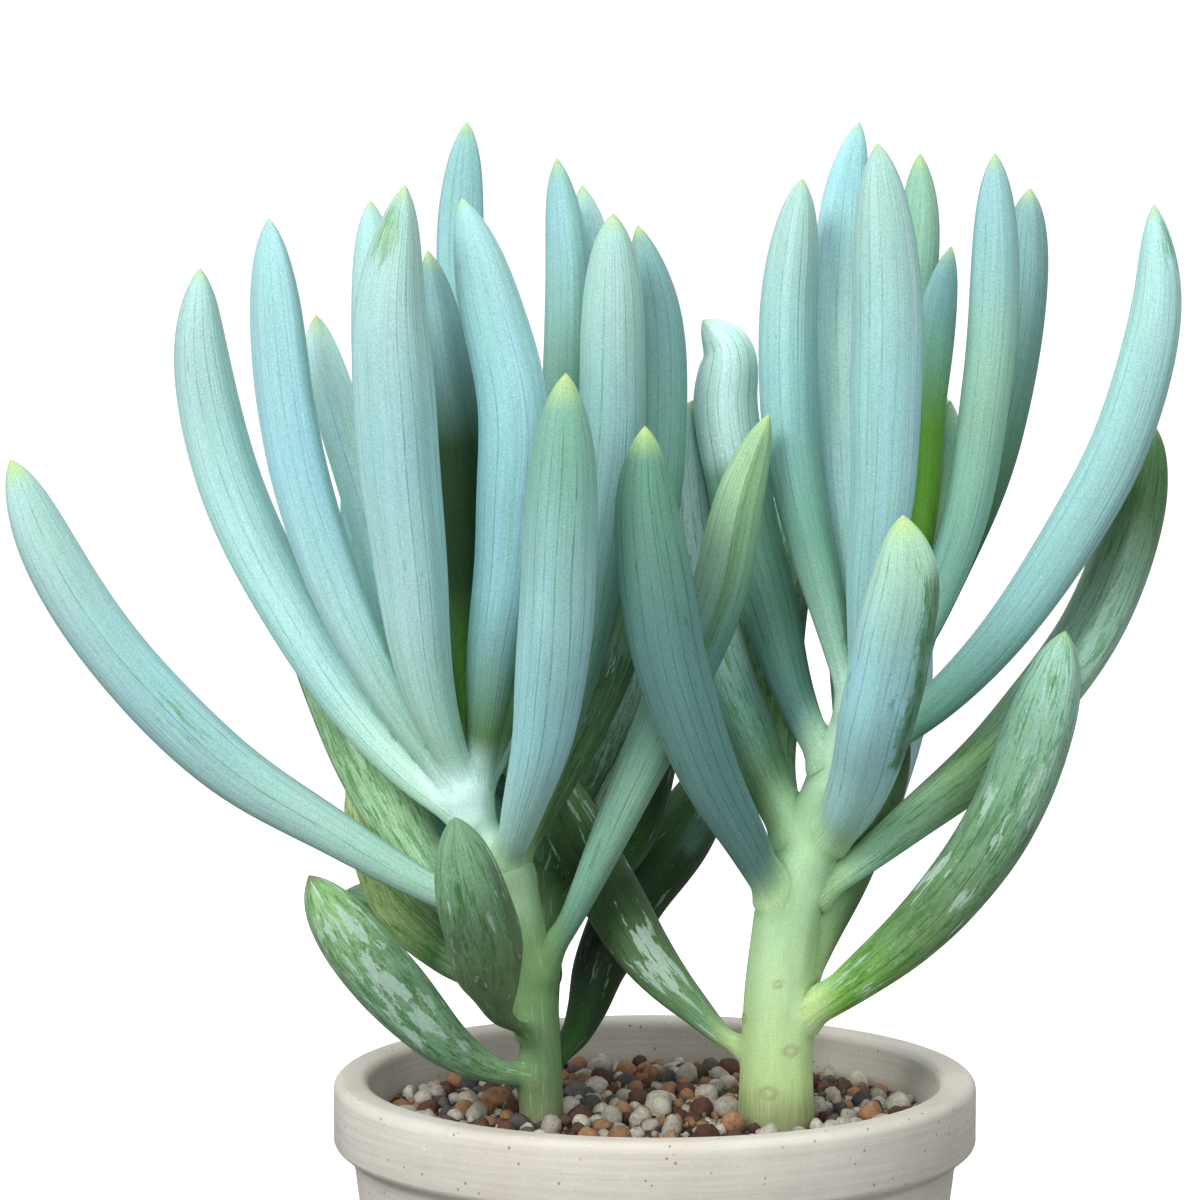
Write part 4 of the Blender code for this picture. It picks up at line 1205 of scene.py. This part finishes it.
def pot_outline():
    """Half outline of the pot with a fully rounded lip and a softly turned outside."""
    slope = (POT_RIM_RADIUS - LIP_PROUD - POT_BASE_RADIUS) / POT_HEIGHT
    lip_foot = POT_HEIGHT - LIP_HEIGHT
    inner_top = POT_RIM_RADIUS - POT_WALL - LIP_PROUD
    outline = [(radius, 0.0) for radius in (*BASE_RINGS, POT_BASE_RADIUS - FOOT_CHAMFER)]
    outline += [(POT_BASE_RADIUS - FOOT_CHAMFER * 0.3, FOOT_CHAMFER * 0.3)]
    for height in np.arange(FOOT_CHAMFER, lip_foot - LIP_PROUD * 1.5, WALL_STEP):
        turning = sum(depth * math.sin(height * close + shift) for depth, close, shift in TURNING_LINES)
        outline.append((POT_BASE_RADIUS + slope * height + turning, height))
    base = POT_BASE_RADIUS + slope * lip_foot
    for share in np.linspace(0.0, 1.0, 7):
        radius = base + (POT_RIM_RADIUS - base) * soft_step(share)
        outline.append((radius, lip_foot + LIP_PROUD * (2 * share - 1)))
    lip = [(1 - math.cos(math.radians(a)), 1 - math.sin(math.radians(a))) for a in range(0, 91, 15)]
    outline += [(POT_RIM_RADIUS - EDGE_ROUND * c, POT_HEIGHT - EDGE_ROUND * s) for c, s in lip]
    outline += [(inner_top + EDGE_ROUND * s, POT_HEIGHT - EDGE_ROUND * c) for c, s in lip]
    outline += [(inside_radius(height), height) for height in np.linspace(POT_HEIGHT - 0.006, POT_FLOOR, 18)]
    return outline + [(0.0, POT_FLOOR)]


def turned_mesh(outline, sides):
    """Points and faces of a solid turned round the Z axis from an outline that starts and ends on it."""
    angles = np.arange(sides) * FULL_TURN / sides
    points = [(0.0, 0.0, outline[0][1])]
    for radius, height in outline[1:-1]:
        points += [(radius * math.cos(a), radius * math.sin(a), height) for a in angles]
    points.append((0.0, 0.0, outline[-1][1]))
    faces = []
    for i in range(sides):
        j = (i + 1) % sides
        faces.append((0, 1 + j, 1 + i))
        for ring in range(len(outline) - 3):
            low = 1 + ring * sides
            faces.append((low + i, low + j, low + sides + j, low + sides + i))
        low = 1 + (len(outline) - 3) * sides
        faces.append((low + i, low + j, len(points) - 1))
    return points, faces


def make_pot():
    """The pot with its drainage holes, finer than its CAD node."""
    pot = mesh_object("pot_shell", *turned_mesh(pot_outline(), POT_FINE_SIDES))
    drills = bpy.data.collections.new("drills")
    bpy.context.scene.collection.children.link(drills)
    low, high = -DRILL_OVERRUN, POT_FLOOR + DRILL_OVERRUN
    for i in range(DRAIN_HOLES):
        outline = [(0.0, low), (DRAIN_RADIUS, low), (DRAIN_RADIUS, high), (0.0, high)]
        points, faces = turned_mesh(outline, DRILL_SIDES)
        shift = DRAIN_CIRCLE * level_direction(360.0 * i / DRAIN_HOLES + DRAIN_TURN)
        drill = mesh_object("drill", np.array(points) + shift, faces)
        bpy.context.scene.collection.objects.unlink(drill)
        drills.objects.link(drill)
    cut = pot.modifiers.new("Cut", "BOOLEAN")
    cut.operation = "DIFFERENCE"
    cut.operand_type = "COLLECTION"
    cut.collection = drills
    cut.solver = "EXACT"
    graph = bpy.context.evaluated_depsgraph_get()
    mesh = bpy.data.meshes.new_from_object(pot.evaluated_get(graph))
    pot.modifiers.clear()
    pot.data = mesh
    for drill in list(drills.objects):
        bpy.data.objects.remove(drill, do_unlink=True)
    bpy.data.collections.remove(drills)
    pot.data.materials.clear()
    pot.data.materials.append(pot_clay())
    pot.data.shade_smooth()
    pot.data.set_sharp_from_angle(angle=SHARP_ANGLE)
    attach(pot, "root")
    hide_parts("pot")


def soil_height(x, y):
    """Height of the crumbly soil surface."""
    share = math.hypot(x, y) / inside_radius(SOIL_TOP)
    rough = sum(depth * noise.noise(Vector((x * close, y * close, z))) for depth, close, z in SOIL_LUMPS)
    mound = 0.0
    for foot in STEM_FEET:
        mound += MOUND * math.exp(-((math.hypot(x - foot[0], y - foot[1]) / MOUND_REACH) ** 2))
    return SOIL_TOP - SOIL_CROWN * share**2 + rough + mound - SOIL_DROP


def make_soil():
    """Soil filling the pot, with a crumbly top."""
    low, high = POT_FLOOR + CLEARANCE, SOIL_TOP - SOIL_CROWN
    outline = [(0.0, low), (inside_radius(POT_FLOOR) - CLEARANCE, low)]
    for i in range(SOIL_FINE_RINGS):
        outline.append(((inside_radius(high) - CLEARANCE / 2) * (1.0 - i / SOIL_FINE_RINGS), high))
    outline.append((0.0, SOIL_TOP))
    points, faces = turned_mesh(outline, SOIL_FINE_SIDES)
    points = [(x, y, soil_height(x, y) if z > low else z) for x, y, z in points]
    soil = mesh_object("soil_bed", points, faces)
    soil.data.materials.append(soil_crumb())
    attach(soil, "root")
    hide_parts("soil")


def ball(subdivisions):
    """Points and faces of a round ball, 1 in radius."""
    model = bmesh.new()
    bmesh.ops.create_icosphere(model, subdivisions=subdivisions, radius=1.0)
    points = np.array([v.co[:] for v in model.verts])
    faces = [tuple(v.index for v in face.verts) for face in model.faces]
    model.free()
    return points, faces


def grain_shape(chance, points):
    """A ball's points made lumpy, with a few flats worn on them."""
    lumps = chance.uniform(-1, 1, (3, 3))
    shape = 1.0 + GRAIN_LUMPS * np.sin(points @ lumps.T * 2.6 + chance.uniform(0, 6, 3)).sum(axis=1) / 1.5
    points = points * shape[:, None]
    for _ in range(GRAIN_FLATS):
        normal = unit(chance.normal(size=3))
        over = np.clip(points @ normal - chance.uniform(0.62, 0.88), 0, None)
        points = points - over[:, None] * normal * 0.9
    return points


def make_grit():
    """Loose grains of pumice, fired clay and lava lying on the soil."""
    chance = np.random.default_rng(5)
    odds = np.array([share for tint, share in GRAINS.values()])
    coarse, fine = ball(2), ball(1)
    placed, points, faces, tints = [], [], [], []
    count = 0
    sizes = np.sort(chance.lognormal(math.log(GRAIN_SIZE), GRAIN_SPREAD, GRAIN_TRIES))[::-1]
    for size in np.clip(sizes, GRAIN_LEAST, GRAIN_MOST):
        wall = inside_radius(SOIL_TOP) - size * 1.05 - 0.0001
        angle, radius = chance.uniform(0, FULL_TURN), wall * math.sqrt(chance.uniform(0, 1))
        x, y = radius * math.cos(angle), radius * math.sin(angle)
        if any(math.hypot(x - f[0], y - f[1]) < f[2] * 1.1 + size for f in STEM_FEET):
            continue
        if any((x - a) ** 2 + (y - b) ** 2 < (GRAIN_SPACING * (size + c)) ** 2 for a, b, c in placed):
            continue
        placed.append((x, y, size))
        round_points, round_faces = coarse if size > GRAIN_COARSE else fine
        grain = grain_shape(chance, round_points)
        grain = grain * (size * chance.uniform(0.75, 1.1, 3))
        spin = chance.uniform(0, FULL_TURN)
        turned = grain.copy()
        turned[:, 0] = grain[:, 0] * math.cos(spin) - grain[:, 1] * math.sin(spin)
        turned[:, 1] = grain[:, 0] * math.sin(spin) + grain[:, 1] * math.cos(spin)
        points.append(turned + (x, y, soil_height(x, y) + size * chance.uniform(0.05, 0.45)))
        faces += [tuple(count + i for i in face) for face in round_faces]
        kind = list(GRAINS)[chance.choice(len(GRAINS), p=odds / odds.sum())]
        tint = np.array(GRAINS[kind][0]) * chance.uniform(0.8, 1.2)
        tints.append(np.tile(tint, (len(grain), 1)))
        count += len(grain)
    grit = mesh_object("soil_grit", np.concatenate(points), faces, {"grain_tint": np.concatenate(tints)})
    grit.data.materials.append(grit_stone())
    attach(grit, "root")


def make_floor():
    """A plain pale floor that glows a little, and that the plant doesn't mirror."""
    corners = [(x, y, 0.0) for y in (-FLOOR_SIDE, FLOOR_BACK) for x in (-FLOOR_SIDE, FLOOR_SIDE)]
    floor = mesh_object("floor", corners, [(0, 1, 3, 2)])
    g = paint("floor_paint")[0]
    g.set(Base_Color=(0.5, 0.5, 0.5, 1.0), Roughness=0.9, Specular_IOR_Level=0.1)
    g.set(Emission_Color=WHITE, Emission_Strength=FLOOR_GLOW)
    floor.data.materials.append(g.owner)
    floor.visible_diffuse = False
    floor.visible_glossy = False


def make_surround():
    """A soft sky, brighter above, that looks plain white behind the plant."""
    world = bpy.data.worlds.new("surround")
    g = Graph(world, "Background")
    upward = g.split(g.add("TexCoord", output="Generated"))[2]
    levels = g.add("ValToRGB", [g.add("MapRange", {"Value": upward, "From Min": -1.0})])
    ramp = levels.node.color_ramp.elements
    ramp[0].position = SKY_LOW
    ramp.new(SKY_MIDDLE)
    for element, level in zip(ramp, SKY):
        element.color = (level, level, level, 1.0)
    g.set(Color=levels)
    seen = g.add("Background", {"Color": WHITE})
    by_camera = g.add("LightPath", output="Is Camera Ray")
    blend = g.add("MixShader", (by_camera, g.shader.outputs[0], seen))
    g.put(g.tree.nodes["World Output"].inputs["Surface"], blend)
    bpy.context.scene.world = world


def make_lights():
    """Soft lamps at the upper left, in front and above."""
    scene = bpy.context.scene
    for name, spot, size, power, colour in LIGHTS:
        light = bpy.data.lights.new(name, "AREA")
        light.shape = "DISK"
        light.size = size
        light.energy = power
        light.color = colour
        lamp = bpy.data.objects.new(name, light)
        lamp.location = spot
        lamp.rotation_euler = (Vector(LIT_POINT) - Vector(spot)).to_track_quat("-Z", "Y").to_euler()
        scene.collection.objects.link(lamp)
    scene.view_settings.view_transform = "Standard"
    scene.view_settings.look = "None"
    scene.view_settings.exposure = 0.0


def make_camera():
    """The photograph's eye."""
    camera = bpy.data.cameras.new("camera")
    camera.sensor_width = SENSOR_WIDTH
    camera.lens = camera.sensor_width * VIEW_DISTANCE / (2 * PICTURE_MIDDLE * PIXEL)
    camera.clip_start = NEAREST
    camera.clip_end = FARTHEST
    eye = bpy.data.objects.new("camera", camera)
    eye.location = EYE
    eye.rotation_euler = (math.pi / 2 - VIEW_TILT, 0.0, 0.0)
    bpy.context.scene.collection.objects.link(eye)
    bpy.context.scene.camera = eye


STEM_AXES = {stem: stem_axis(stem) for stem in STEMS}
STEM_FEET = [(*stem_path(stem)[0][:2], STEMS[stem]["radii"][0]) for stem in STEMS]
make_camera()
make_floor()
make_surround()
make_lights()
make_shoots()
make_pot()
make_soil()
make_grit()

bpy.context.view_layer.update()
